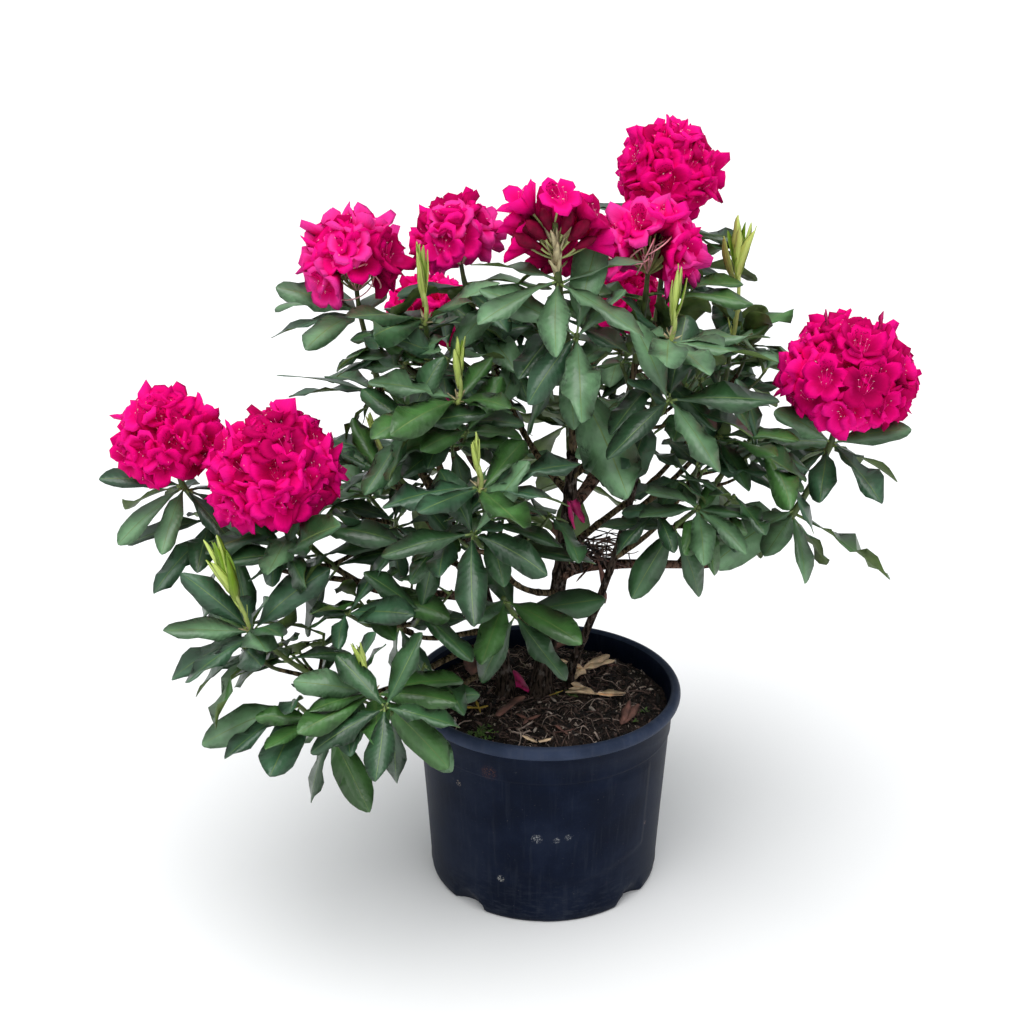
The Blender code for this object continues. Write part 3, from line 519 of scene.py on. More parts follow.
class Mass:
    """One mass of foliage, as lists of twigs, leaves, a truss and young shoots."""

    def __init__(self, name, limbs, space):
        self.name = name
        self.space = space
        self.plan = mass_plan(name, limbs)
        self.random = random.Random(f"{SEED}-{name}")
        self.twigs, self.leaves, self.trusses, self.shoots = [], [], [], []
        self.sprays = 0
        self.crowded = False
        self.side_lines = self.side_shoots()
        self.claim()

    def side_shoots(self):
        """Short shoots that leave the older whorl by the golden angle and turn up."""
        skirt, axis = self.plan.skirt, self.plan.axis
        outward = Vector((skirt.x, skirt.y, 0)).normalized()
        lines = []
        for i in range(self.plan.sides):
            angle = self.random.uniform(-SIDE_SPREAD, SIDE_SPREAD) + i * GOLDEN_ANGLE
            away = Matrix.Rotation(angle, 3, "Z") @ outward
            middle = skirt + away * SIDE_OUT_MIDDLE + axis * SIDE_UP_MIDDLE
            tip = skirt + away * SIDE_OUT_TIP + axis * SIDE_UP_TIP
            lines.append(curve_through([skirt, middle, tip], 2))
        return lines

    def claim(self):
        plan = self.plan
        for site in (plan.line[0], plan.skirt, plan.line[-1]):
            self.space.own(self.name, site)
        if plan.truss_radius:
            self.space.own(self.name, plan.heart, HEART_WEIGHT * plan.truss_radius)
        for line in self.side_lines:
            self.space.own(self.name, line[-1])

    def twig(self, kind, points, radius, shown=True):
        """A twig, with a prism on each stretch in its place in the space."""
        if shown:
            self.twigs.append(Twig(kind, points, radius))
        count = len(points) - 1
        stretches = []
        for i, (a, b) in enumerate(zip(points, points[1:])):
            share = 1 - (1 - TWIG_TIP_SHARE) * (i + 0.5) / count
            stretches.append((a, b, radius * share / PRISM_SWELL))
        self.space.take(self.name, prisms(stretches))

    def raise_shoot(self):
        """The shoot's own twig, and what it ends in."""
        plan = self.plan
        line = [*plan.line, plan.heart] if plan.truss_radius else plan.line
        self.twig("shoot", line, TWIG_RADIUS)
        tip, axis = plan.line[-1], plan.axis
        if plan.truss_radius:
            self.raise_truss()
        elif plan.kind == "candle":
            spindle = candle_spindle(tip - axis * CANDLE_SUNK, frame_about(axis))
            self.space.take(self.name, spindle)
        elif plan.kind == "opening":
            self.raise_tuft(tip, axis)
        if plan.kind in ("candle", "opening"):
            self.shoots.append(Shoot(self.name, tip, axis))

    def raise_truss(self):
        """The truss, and the solid dome that stands for it in the space."""
        plan = self.plan
        reaches = [self.random.uniform(LEAST_REACH, 1.0) for _ in range(FLORETS)]
        self.trusses.append(
            Truss(self.name, plan.kind, plan.heart, plan.axis, plan.truss_radius, reaches)
        )
        shut = FLORETS * BUDDING_SHARE if plan.kind == "budding" else FLORETS
        florets = []
        for i, reach in enumerate(reaches):
            polar = math.acos(1 - FLORET_REACH * (i + FIRST_FLORET) / FLORETS)
            turn = i * GOLDEN_ANGLE
            side = math.sin(polar)
            way = Vector((math.cos(polar), side * math.cos(turn), side * math.sin(turn)))
            florets.append((way, reach * (SHUT_REACH if i < FLORETS - shut else 1.0)))
        dome = truss_dome(plan.heart, frame_about(plan.axis), plan.truss_radius, florets)
        self.space.take(self.name, dome)

    def raise_tuft(self, tip, axis):
        """What stands in the space for an opening shoot: a stalk and upright blades."""
        top = tip + axis * OPEN_STALK
        self.twig("tuft", [tip - axis * OPEN_SUNK, top], TWIG_RADIUS * SIDE_TWIG_SHARE, shown=False)
        side = axis.orthogonal().normalized()
        for i in range(OPEN_LEAVES):
            out = Matrix.Rotation(i * GOLDEN_ANGLE, 3, axis) @ side
            axes = frame_of(axis * math.cos(OPEN_PITCH) + out * math.sin(OPEN_PITCH), -out)
            root = top - axis * (i + 1) * LEAF_STEP
            blade = blade_corners(OPEN_LEAF_LENGTH, OPEN_LEAF_WIDTH, OPEN_LEAF_CURL)
            self.space.take(self.name, ([root + axes @ corner for corner in blade], BLADE_FACES))

    def leaf_out(self):
        """The whorls of leaves at the crown, at last year's growth below it, and on side shoots."""
        plan = self.plan
        self.space.turn_to(self.name)
        spread = CROWN_PITCH_BLOOM if plan.truss_radius else CROWN_PITCH
        self.whorl("crown", plan.line, 1.0, plan.axis, LEAVES_IN_WHORL, spread)
        self.whorl("skirt", plan.line, plan.skirt_share, plan.upward, LEAVES_IN_SKIRT, SKIRT_PITCH)
        radius = TWIG_RADIUS * SIDE_TWIG_SHARE
        for line in self.side_lines:
            if self.space.free(prisms([(line[1], line[2], radius + LIMB_MARGIN)])):
                self.twig("side", line, radius)
                axis = heading_of(line)
                self.whorl("side", line, 1.0, axis, LEAVES_ON_SIDE, CROWN_PITCH, SIDE_LEAF_SCALE)

    def whorl(self, kind, line, share, axis, count, pitch, scale=1.0):
        """Leaves evenly round the shoot, each rooted a step below the last."""
        self.sprays += 1
        start = self.random.uniform(0, TURN)
        size = LEAF_SCALE.get(self.name, 1.0) * scale
        whole = sum(steps_of(line))
        for i in range(count):
            length = LEAF_LENGTH * size * self.random.uniform(SHORTEST_LEAF, LONGEST_LEAF)
            tilt = pitch + math.radians(self.random.uniform(-PITCH_SPREAD, PITCH_SPREAD))
            place = along(line, share - (i + 1) * LEAF_STEP / whole)
            azimuth = start + i * TURN / count + self.random.uniform(-TURN_SPREAD, TURN_SPREAD)
            self.leaf(kind, place, azimuth, axis, tilt, length)

    def leaf(self, kind, place, azimuth, axis, pitch, length):
        """Tries the leaf at its own place, then turned, raised or shorter, until one fits."""
        side = axis.orthogonal().normalized()
        for shrink, turn, lift in LEAF_TRIES:
            out = Matrix.Rotation(azimuth + turn, 3, axis) @ side
            angle = pitch + lift
            direction = axis * math.cos(angle) + out * math.sin(angle)
            upward = axis * math.sin(angle) - out * math.cos(angle)
            if abs(upward.z) > LEVEL_LEAF:
                upward = upward + LEAF_ROLL * UP
            axes = frame_of(direction, upward)
            root = place - direction * ROOT_DEPTH
            size = length * shrink
            blade = blade_corners(size, LEAF_WIDTH_SHARE * size, LEAF_DROOP)
            corners = [root + axes @ corner for corner in blade]
            if self.fits(root, corners):
                self.space.take(self.name, (corners, BLADE_FACES))
                self.leaves.append(Leaf(kind, self.sprays, root, axes, size))
                return

    def fill_in(self):
        """Finer growth in the space that is left: older whorls, and small side shoots."""
        plan = self.plan
        self.random = random.Random(f"fine-{SEED}-{self.name}")
        self.space.turn_to(None)
        self.crowded = True
        step = FINE_STEP / sum(steps_of(plan.line))
        shoots = OPEN_MASSES.get(self.name, FINE_SHOOTS)
        if 1 - step > plan.skirt_share + FINE_APART and shoots:
            row = (1 - step, plan.axis, FINE_WHORL, FINE_PITCH, BETWEEN_SCALE)
            self.whorl("between", plan.line, *row)
        if plan.skirt_share > 2 * SKIRT_LEAST:
            row = (plan.skirt_share - step, plan.upward, FINE_WHORL, SKIRT_PITCH, OLDEST_SCALE)
            self.whorl("oldest", plan.line, *row)
        for _ in range(shoots):
            angle = self.random.uniform(0, TURN)
            size = self.random.uniform(*FINE_SIZES)
            away = Matrix.Rotation(angle, 3, "Z") @ Vector((1, 0, 0))
            foot = along(plan.line, plan.skirt_share * self.random.uniform(*FINE_FEET))
            middle = foot + (away * SIDE_OUT_MIDDLE + UP * SIDE_UP_MIDDLE) * size
            tip = foot + (away * SIDE_OUT_TIP + UP * SIDE_UP_TIP) * size
            line = curve_through([foot, middle, tip], 4)
            if not self.space.holds(self.name, tip) or not self.space.clear_of_pot(tip):
                continue
            if not self.space.free(prisms([(line[1], line[4], TWIG_RADIUS)])):
                continue
            grown = len(self.leaves)
            self.whorl("fine", line, 1.0, heading_of(line), FINE_WHORL, CROWN_PITCH, FINE_SCALE)
            if len(self.leaves) > grown:
                self.twigs.append(Twig("side", line, TWIG_RADIUS * FINE_TWIG_SHARE))

    def show_leaf(self, share, tip, kind):
        """A leaf from a share of the shoot to a place."""
        root = along(self.plan.line, share)
        reach = Vector(tip) - root
        direction = (reach + LEAF_DROOP * reach.length * UP).normalized()
        self.sprays += 1
        axes = frame_of(direction, EDGE_FACING if kind == "edge" else NOTABLE_FACING)
        self.leaves.append(Leaf(kind, self.sprays, root, axes, reach.length))

    def fits(self, root, corners):
        """True if the leaf, past its sunk root, stays in the mass's space and meets nothing."""
        middles = [sum((corners[i] for i in face), Vector()) / 3 for face in BLADE_FACES]
        reach = max((corner - root).length for corner in corners)
        tested = [p for p in corners + middles if (p - root).length > ROOT_SHARE * reach]
        if not all(self.space.holds(self.name, p) and self.space.clear_of_pot(p) for p in tested):
            return False
        if self.crowded:
            corners = [root.lerp(corners[1], ROOT_SHARE), *corners[1:]]
        return self.space.free((corners, BLADE_FACES))


Plant = namedtuple("Plant", "limbs masses")


@functools.cache
def grown_plant():
    """The whole plant as limbs and masses, grown once."""
    limbs = limb_lines(FINE_STEPS)
    space = Space(limbs)
    masses = {name: Mass(name, limbs, space) for name in MASSES}
    for mass in masses.values():
        mass.raise_shoot()
    for mass in masses.values():
        mass.leaf_out()
    for mass in masses.values():
        mass.fill_in()
    for name, share, tip, kind in NOTABLE_LEAVES:
        masses[name].show_leaf(share, tip, kind)
    return Plant(limbs, masses)


def part_of_crown(name):
    """left, middle, right or back, by the place of the mass's top whorl."""
    x, y, _ = MASSES[name][0]
    if y > BACK_OF_CROWN:
        return "back"
    if x < LEFT_OF_CROWN:
        return "left"
    return "right" if x > RIGHT_OF_CROWN else "middle"


# Surfaces: every one is a closed skin of rings, with a point at each end


class Skins:
    """Collects closed skins and turns them into one mesh.

    A skin is R rings of K corners and two end points, one before the first ring and one after the
    last. Corners run anticlockwise about the way that the rings are stacked, so faces point out.
    """

    def __init__(self):
        self.vertices, self.uv, self.quads, self.triangles = [], [], [], []
        self.quad_slots, self.triangle_slots = [], []
        self.count = 0

    def add(self, rings, starts, ends, u, v, slots, crossed=None):
        """Adds M skins: rings (M, R, K, 3), end points (M, 3), slots (M, R - 1, K).

        u (R) and v (K) are the UV of rings and corners. crossed (K) marks the columns whose faces
        start one corner on, so that they split the other way.
        """
        skins, rows, corners = rings.shape[:3]
        points = np.concatenate(
            [rings.reshape(skins, -1, 3), starts[:, None], ends[:, None]], axis=1
        )
        size = rows * corners + 2
        grid = np.arange(rows * corners).reshape(rows, corners)
        after = np.roll(grid, -1, axis=1)
        quads = np.stack([grid[:-1], after[:-1], after[1:], grid[1:]], axis=-1)
        if crossed is not None:
            quads[:, crossed] = np.roll(quads[:, crossed], -1, axis=-1)
        quads = quads.reshape(-1, 4)
        first = np.stack([np.full(corners, size - 2), after[0], grid[0]], axis=-1)
        last = np.stack([np.full(corners, size - 1), grid[-1], after[-1]], axis=-1)
        triangles = np.concatenate([first, last])
        shift = self.count + size * np.arange(skins)[:, None, None]
        self.vertices.append(points.reshape(-1, 3))
        uv = np.stack(np.broadcast_arrays(u[:, None], v), axis=-1).reshape(-1, 2)
        ends_uv = np.array([[0.0, 0.5], [1.0, 0.5]])
        self.uv.append(np.tile(np.concatenate([uv, ends_uv]), (skins, 1)))
        self.quads.append((quads + shift).reshape(-1, 4))
        self.triangles.append((triangles + shift).reshape(-1, 3))
        slots = np.broadcast_to(slots, (skins, rows - 1, corners))
        self.quad_slots.append(slots.reshape(-1))
        self.triangle_slots.append(np.concatenate([slots[:, 0], slots[:, -1]], axis=1).reshape(-1))
        self.count += skins * size

    def mesh(self, name, materials):
        vertices = np.concatenate(self.vertices)
        quads = np.concatenate(self.quads)
        triangles = np.concatenate(self.triangles)
        corners = np.concatenate([quads.reshape(-1), triangles.reshape(-1)])
        starts = np.concatenate(
            [4 * np.arange(len(quads)), 4 * len(quads) + 3 * np.arange(len(triangles))]
        )
        mesh = bpy.data.meshes.new(name)
        mesh.vertices.add(len(vertices))
        mesh.vertices.foreach_set("co", vertices.astype(np.float32).reshape(-1))
        mesh.loops.add(len(corners))
        mesh.loops.foreach_set("vertex_index", corners.astype(np.int32))
        mesh.polygons.add(len(starts))
        mesh.polygons.foreach_set("loop_start", starts.astype(np.int32))
        slots = np.concatenate(self.quad_slots + self.triangle_slots)
        for material in materials:
            mesh.materials.append(material)
        mesh.polygons.foreach_set("material_index", slots.astype(np.int32))
        layer = mesh.uv_layers.new(name="UVMap")
        uv = np.concatenate(self.uv)[corners]
        layer.data.foreach_set("uv", uv.astype(np.float32).reshape(-1))
        mesh.update(calc_edges=True)
        mesh.validate()
        mesh.shade_smooth()
        return mesh


def linked(name, data):
    """A new object in the scene, with its data."""
    made = bpy.data.objects.new(name, data)
    bpy.context.scene.collection.objects.link(made)
    return made


def make_piece(name, skins, finishes, nodes=()):
    """One piece of the plant from its skins, riding with the plant and standing for the nodes."""
    made = linked(name, skins.mesh(name, [finish(key) for key in finishes]))
    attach(made, "root")
    if nodes:
        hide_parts(*nodes)
    return made


def unit(vectors):
    return vectors / np.maximum(np.linalg.norm(vectors, axis=-1, keepdims=True), 1e-12)


def evenly(count):
    """Angles at equal steps round a full turn."""
    return TURN * np.arange(count) / count


def placed(origins, axes, local):
    """Points (M, R, K, 3) in the axes of their own skins, as points of the plant."""
    return origins[:, None, None] + np.einsum("mij,mrkj->mrki", axes, local)


def polar_ways(polar, turn):
    """Directions by their angle from X and their turn about it."""
    side = np.sin(polar)
    return np.stack([np.cos(polar), side * np.cos(turn), side * np.sin(turn)], axis=1)


def resampled(points, count):
    """The same line of points with a given number of points at equal steps along it."""
    points = np.array([tuple(p) for p in points])
    steps = np.linalg.norm(np.diff(points, axis=0), axis=1)
    place = np.concatenate([[0], np.cumsum(steps)])
    wanted = np.linspace(0, place[-1], count)
    return np.stack([np.interp(wanted, place, points[:, i]) for i in range(3)], axis=1)


def tube_skins(skins, lines, radii, corners, slots=0, relief=None):
    """Tubes along M lines of R points.

    Each ring is its radius times (cos, sin) of the corner's angle in a frame that turns with the
    line as little as it can. relief (M, R, K) multiplies the radius.
    """
    lines = np.asarray(lines, float)
    tangents = unit(np.gradient(lines, axis=1))
    reference = np.where(np.abs(tangents[:, :1, 2:]) > 0.9, [[[1.0, 0, 0]]], [[[0, 0, 1.0]]])
    normal = unit(np.cross(tangents[:, 0], reference[:, 0]))
    normals = []
    for i in range(lines.shape[1]):
        tangent = tangents[:, i]
        normal = unit(normal - np.sum(normal * tangent, axis=-1, keepdims=True) * tangent)
        normals.append(normal)
    normals = np.stack(normals, axis=1)
    across = np.cross(tangents, normals)
    angle = evenly(corners)[:, None]
    around = np.cos(angle) * normals[:, :, None] + np.sin(angle) * across[:, :, None]
    reach = np.broadcast_to(np.asarray(radii, float), lines.shape[:2])[..., None, None]
    if relief is not None:
        reach = reach * relief[..., None]
    rings = lines[:, :, None] + around * reach
    u, v = np.linspace(0, 1, lines.shape[1]), np.arange(corners) / corners
    skins.add(rings, lines[:, 0], lines[:, -1], u, v, slots)


def wavy(place, seed, waves, low, high):
    """A smooth noise about 0 at places (..., 3): a sum of sines in seeded directions."""
    dice = np.random.default_rng(seed)
    total = np.zeros(place.shape[:-1])
    for _ in range(waves):
        way = unit(dice.normal(size=3))
        speed = dice.uniform(low, high)
        total += np.sin(place @ (way * speed * TURN) + dice.uniform(0, TURN))
    return total / math.sqrt(waves)


# Leaves

LEAF_ROWS = np.array([0.0, 0.09, 0.17, 0.28, 0.40, 0.52, 0.64, 0.75, 0.85, 0.93, 0.985])
LEAF_ACROSS = np.array([1.0, 0.028, -0.028, -1.0, 0.0])
LEAF_ABOVE = np.array([1, 1, 1, 1, -1])
TOP, RIB, STALK, UNDER = 0, 1, 2, 3
LEAF_KINDS = np.array([TOP, RIB, TOP, UNDER, UNDER])

# How leaves differ: ranges of shares for width, wave and fold, deviations for twist and sway
RIPPLE, RIPPLES = 0.13, 2.3
WIDTH_RANGE, WAVE_RANGE, FOLD_RANGE = (0.86, 1.12), (0.4, 1.3), (-0.8, 1.8)
MARGIN_WAVES, OTHER_SIDE = (1.0, 2.6), 2.1
LEAF_TWIST, LEAF_SWAY = 0.38, 0.06
PETIOLE_JOIN = 0.12

Blade = namedtuple("Blade", "width petiole fold wave thickness stalk base tip")
GROWN_BLADE = Blade(0.37, 0.11, 0.15, 0.16, 0.0005, 0.0012, 0.98, 0.66)
YOUNG_BLADE = Blade(0.19, 0.02, 0.70, 0.03, 0.0005, 0.0012, 0.55, 0.75)
BRACT_BLADE = Blade(0.30, 0.02, 0.45, 0.05, 0.0004, 0.0010, 0.45, 0.80)


def leaf_skins(skins, roots, axes, lengths, blade, droop, slots, dice):
    """Leaves in their own outline, one closed skin each.

    Along the leaf, t runs 0 to 1. Past the petiole the half width is s^base (1 - s)^tip, with s
    from 0 to 1 along the blade, scaled to the blade's width and rippled by a sine of t. Across it
    v runs -1 to 1: the side rises by |v| times the fold and a wave, a sine of t. The midrib sags
    by droop t^2, sways aside by t^2 and the blade twists by t^1.5. Slots (M, 4) are the finishes
    of upper side, rib, petiole and lower side. One droop or slot may stand for all.
    """
    count = len(lengths)
    shape = (count, 1, 1)
    droop, slots = np.broadcast_to(droop, count), np.broadcast_to(slots, (count, 4))
    t, v = LEAF_ROWS[:, None], LEAF_ACROSS
    s = np.clip((t - blade.petiole) / (1 - blade.petiole), 0, 1)
    peak = blade.base / (blade.base + blade.tip)
    outline = s**blade.base * (1 - s) ** blade.tip / (peak**blade.base * (1 - peak) ** blade.tip)
    length = np.asarray(lengths)[:, None, None]
    half = 0.5 * blade.width * length * dice.uniform(*WIDTH_RANGE, shape)
    phase = dice.uniform(0, TURN, shape) + np.where(v > 0, 0.0, OTHER_SIDE)
    ripple = dice.uniform(0.0, RIPPLE, shape) * np.sin(TURN * RIPPLES * t + 1.7 * phase)
    half = half * outline * (1 + ripple)
    half = np.maximum(half, blade.stalk * (1 - 0.8 * s**4))
    waves = dice.uniform(*MARGIN_WAVES, shape)
    wave = 2 * blade.wave * dice.uniform(*WAVE_RANGE, shape)
    margin = wave * np.sin(TURN * waves * t + phase)
    fold = blade.fold * dice.uniform(*FOLD_RANGE, shape)
    petiole = np.clip(1 - s / PETIOLE_JOIN, 0, 1)
    lift = half * np.abs(v) * (fold + margin) * (1 - petiole)
    thick = blade.thickness * (1.1 - 0.7 * np.abs(v)) + petiole * blade.stalk * (1 - np.abs(v))
    turn = dice.normal(0, LEAF_TWIST, shape) * t**1.5
    up = lift + LEAF_ABOVE * thick
    aside = half * v * np.cos(turn) - up * np.sin(turn)
    height = half * v * np.sin(turn) + up * np.cos(turn)
    sway = dice.normal(0, LEAF_SWAY, shape) * length
    fall = (droop[:, None, None] * length) * t**2
    along_leaf = np.broadcast_to(t * length, aside.shape)
    local = np.stack([along_leaf, aside + sway * t**2, height - fall], axis=-1)
    tip = np.stack([lengths, sway[:, 0, 0], -droop * lengths], axis=-1)
    tips = roots + np.einsum("mij,mj->mi", axes, tip)
    kind = np.broadcast_to(LEAF_KINDS, (len(t) - 1, len(v))).copy()
    kind[LEAF_ROWS[1:] <= blade.petiole + 0.03] = STALK
    rings = placed(roots, axes, local)
    skins.add(rings, roots, tips, LEAF_ROWS, 0.5 + 0.5 * v, slots[:, kind], LEAF_KINDS == UNDER)


# Flowers

LOBES = 5
LOBE_STEPS = np.array([-0.5, -0.37, -0.15, 0.15, 0.37])
FLORET_OUTSIDE = np.array([0.0, 1.0])
FLORET_INSIDE = np.array([0.80, 0.45])
FLORET_SIZE = 0.0265
FLORET_DEPTH = 1.02
PETAL_THICKNESS = 0.0005
FLORET_FOOT = 0.12
LOBE_NOTCH, LOBE_LENGTH, LIP_CURL = (0.26, 0.36), (-0.12, 0.08), (-0.3, 0.9)
LOBE_LEAN, LOBE_LEAN_SPREAD, RUFFLE = 0.04, 0.23, 0.085
BUD_ROWS, BUD_CORNERS = np.array([0.03, 0.20, 0.45, 0.70, 0.92]), 10
BUD_WIDTH, BUD_PLEAT, BUD_TWIST = 0.185, 0.10, 1.2


def floret_skins(skins, bases, axes, sizes, slots, dice):
    """Open flowers, each a thin funnel with five lobes.

    s runs 0 at the tube's foot to 1 at the lip, out along the outside and back along the inside.
    Between two lobes s stops short by the notch times |2 phase|^3.2. Radius is 0.12 + 0.88 s^1.5
    and height is depth (1 - (1 - s)^1.9), less a curl past s = 0.6, both times the flower's size.
    Each lobe is longer or shorter and leans by its own amount, and its edge waves.
    """
    shape, lobe_shape = (len(sizes), 1, 1), (len(sizes), LOBES)
    along_floret = np.concatenate([FLORET_OUTSIDE, FLORET_INSIDE])
    s = along_floret[:, None]
    inner = np.arange(len(s)) >= len(FLORET_OUTSIDE)
    phase = np.tile(LOBE_STEPS, LOBES)
    lobe = np.repeat(np.arange(LOBES), len(LOBE_STEPS))
    angle = TURN * (lobe + phase + 0.25) / LOBES
    window = np.cos(math.pi * phase) ** 2
    reach = 1.02 - dice.uniform(*LOBE_NOTCH, shape) * np.abs(2 * phase) ** 3.2
    reach = reach * (1 + dice.uniform(*LOBE_LENGTH, lobe_shape)[:, lobe][:, None] * window)
    place = s * (1 + (reach - 1) * s**1.5)
    radius = FLORET_FOOT + (1 - FLORET_FOOT) * place**1.5
    curl = dice.uniform(*LIP_CURL, shape) * np.clip(place - 0.6, 0, 1) ** 1.4
    height = FLORET_DEPTH * (1 - (1 - np.clip(place, 0, 1)) ** 1.9) - curl
    lean = dice.normal(LOBE_LEAN, LOBE_LEAN_SPREAD, lobe_shape)[:, lobe][:, None] * window
    ruffle = RUFFLE * np.sin(2 * LOBES * angle + dice.uniform(0, TURN, shape))
    height = height + lean * place**2 + ruffle * place**3
    size = np.asarray(sizes)[:, None, None]
    wall = np.where(inner, PETAL_THICKNESS, 0.0)[:, None]
    height = height * size + wall * (place > 0.45)
    radius = radius * size - wall * (place <= 0.45)
    local = np.stack([height, radius * np.cos(angle), radius * np.sin(angle)], axis=-1)
    rings = placed(bases, axes, local)
    throat = rings[:, -1].mean(axis=1) - 0.12 * size[:, 0] * axes[:, :, 0]
    kind = np.zeros((len(s) - 1, len(phase)), int)
    kind[-1, lobe == 1] = 1
    skins.add(rings, bases, throat, along_floret, angle / TURN, slots[:, kind])


def bud_skins(skins, bases, axes, lengths, slots):
    """Closed flower buds: a spindle, widest past its middle, with five soft pleats that twist."""
    s, angle = BUD_ROWS, evenly(BUD_CORNERS)
    length = np.asarray(lengths)[:, None, None]
    width = BUD_WIDTH * np.sin(math.pi * s**1.45) ** 0.75
    pleat = 1 + BUD_PLEAT * np.cos(LOBES * (angle[None] + BUD_TWIST * s[:, None]))
    radius = (width[:, None] * pleat)[None] * length
    x = np.broadcast_to(s[:, None] * length, radius.shape)
    local = np.stack([x, radius * np.cos(angle), radius * np.sin(angle)], axis=-1)
    tips = bases + axes[:, :, 0] * length[:, 0]
    skins.add(placed(bases, axes, local), bases, tips, s, angle / TURN, slots)


# Shader expressions


class Value:
    """A socket of a shader node, as a number in Python expressions."""

    def __init__(self, graph, socket):
        self.graph = graph
        self.socket = socket

    def __add__(self, other):
        return self.graph.maths("ADD", self, other)

    def __sub__(self, other):
        return self.graph.maths("SUBTRACT", self, other)

    def __rsub__(self, other):
        return self.graph.maths("SUBTRACT", other, self)

    def __mul__(self, other):
        return self.graph.maths("MULTIPLY", self, other)

    def __pow__(self, other):
        return self.graph.maths("POWER", self, other)

    __radd__ = __add__
    __rmul__ = __mul__


class Graph:
    """The nodes of one material."""

    def __init__(self, name):
        self.material = bpy.data.materials.new(name)
        self.material.use_nodes = True
        self.nodes = self.material.node_tree.nodes
        self.links = self.material.node_tree.links
        self.shader = self.nodes["Principled BSDF"]

    def node(self, kind, settings=None, values=None, output=0):
        """A node of a type: its settings are set first, then the values or links of its sockets."""
        made = self.nodes.new(kind)
        for key, value in (settings or {}).items():
            setattr(made, key, value)
        for key, value in (values or {}).items():
            self.put(made.inputs[key], value)
        return Value(self, made.outputs[output])

    def put(self, socket, value):
        if isinstance(value, Value):
            self.links.new(value.socket, socket)
        elif socket.type == "RGBA":
            socket.default_value = (*value, 1.0)
        else:
            socket.default_value = value

    def maths(self, operation, *values):
        return self.node("ShaderNodeMath", {"operation": operation}, dict(enumerate(values)))

    def mix(self, share, first, second):
        """A colour between two colours."""
        values = {0: share, 6: first, 7: second}
        return self.node("ShaderNodeMix", {"data_type": "RGBA"}, values, output=2)

    def step(self, value, low, high):
        """0 below low, 1 above high, smooth between."""
        values = {"Value": value, "From Min": low, "From Max": high}
        return self.node("ShaderNodeMapRange", {"interpolation_type": "SMOOTHSTEP"}, values)

    def place(self, kind="Object"):
        """Object coordinates, or the piece's own UV."""
        outputs = {"UV": 2, "Object": 3}
        return self.node("ShaderNodeTexCoord", output=outputs[kind])

    def parts(self, vector):
        """X, Y and Z of a vector."""
        made = self.node("ShaderNodeSeparateXYZ", values={0: vector}).socket.node
        return [Value(self, output) for output in made.outputs]

    def noise(self, vector, scale, detail=2.0, roughness=0.5):
        values = {"Vector": vector, "Scale": scale, "Detail": detail, "Roughness": roughness}
        return self.node("ShaderNodeTexNoise", values=values)

    def stretched(self, vector, scale):
        return self.node("ShaderNodeMapping", values={"Vector": vector, "Scale": scale})

    def bump(self, height, distance, strength=1.0):
        values = {"Height": height, "Distance": distance, "Strength": strength}
        return self.node("ShaderNodeBump", values=values)

    def finish(self, **sockets):
        """Values or links of the Principled shader's sockets, by name with _ for a space."""
        for key, value in sockets.items():
            self.put(self.shader.inputs[key.replace("_", " ")], value)
        return self.material


def darker(colour, share):
    return tuple(share * part for part in colour)


def mixed(first, second, share):
    return tuple(a + (b - a) * share for a, b in zip(first, second))


def leaf_finish(name, colour, gloss):
    """Leathery upper side: faint side veins in shallow furrows, patches of tone, a soft sheen."""
    graph = Graph(name)
    place = graph.place()
    run, across, _ = graph.parts(graph.place("UV"))
    side = graph.maths("ABSOLUTE", across - 0.5) * 2.0
    veins = graph.maths("SINE", (run - side * 0.16) * (TURN * 13)) * 0.5 + 0.5
    patch = graph.noise(place, 30.0, 3.0)
    grain = graph.noise(place, 600.0, 2.0)
    net = graph.noise(place, 260.0, 3.0, 0.6)
    base = graph.mix(graph.step(patch, 0.3, 0.7), darker(colour, 0.70), darker(colour, 1.35))
    base = graph.mix(graph.step(net, 0.50, 0.75) * 0.22, base, darker(colour, 0.55))
    pale = mixed(colour, (0.17, 0.25, 0.10), 0.5)
    edge = graph.step(side, 0.93, 1.0) * 0.35
    base = graph.mix(edge + veins**10.0 * 0.06, base, pale)
    relief = veins * 0.12 + grain * 0.25 + net * 0.5 + patch
    normal = graph.bump(relief, 0.0012, 0.6)
    rough = graph.step(patch, 0.25, 0.75) * 0.18 + (gloss - 0.08)
    return graph.finish(Base_Color=base, Roughness=rough, Normal=normal, Specular_IOR_Level=0.72)


def plain_finish(name, colour, roughness, scale, contrast, relief=0.0004, gloss=0.5):
    """A colour with soft patches and a fine grain, for small pieces."""
    graph = Graph(name)
    place = graph.place()
    patch = graph.noise(place, scale, 3.0)
    grain = graph.noise(place, scale * 9, 2.0)
    share = graph.step(patch, 0.3, 0.7)
    base = graph.mix(share, darker(colour, 1 - contrast), darker(colour, 1 + contrast))
    normal = graph.bump(patch * 0.6 + grain * 0.4, relief)
    rough = share * 0.1 + (roughness - 0.05)
    return graph.finish(Base_Color=base, Roughness=rough, Normal=normal, Specular_IOR_Level=gloss)


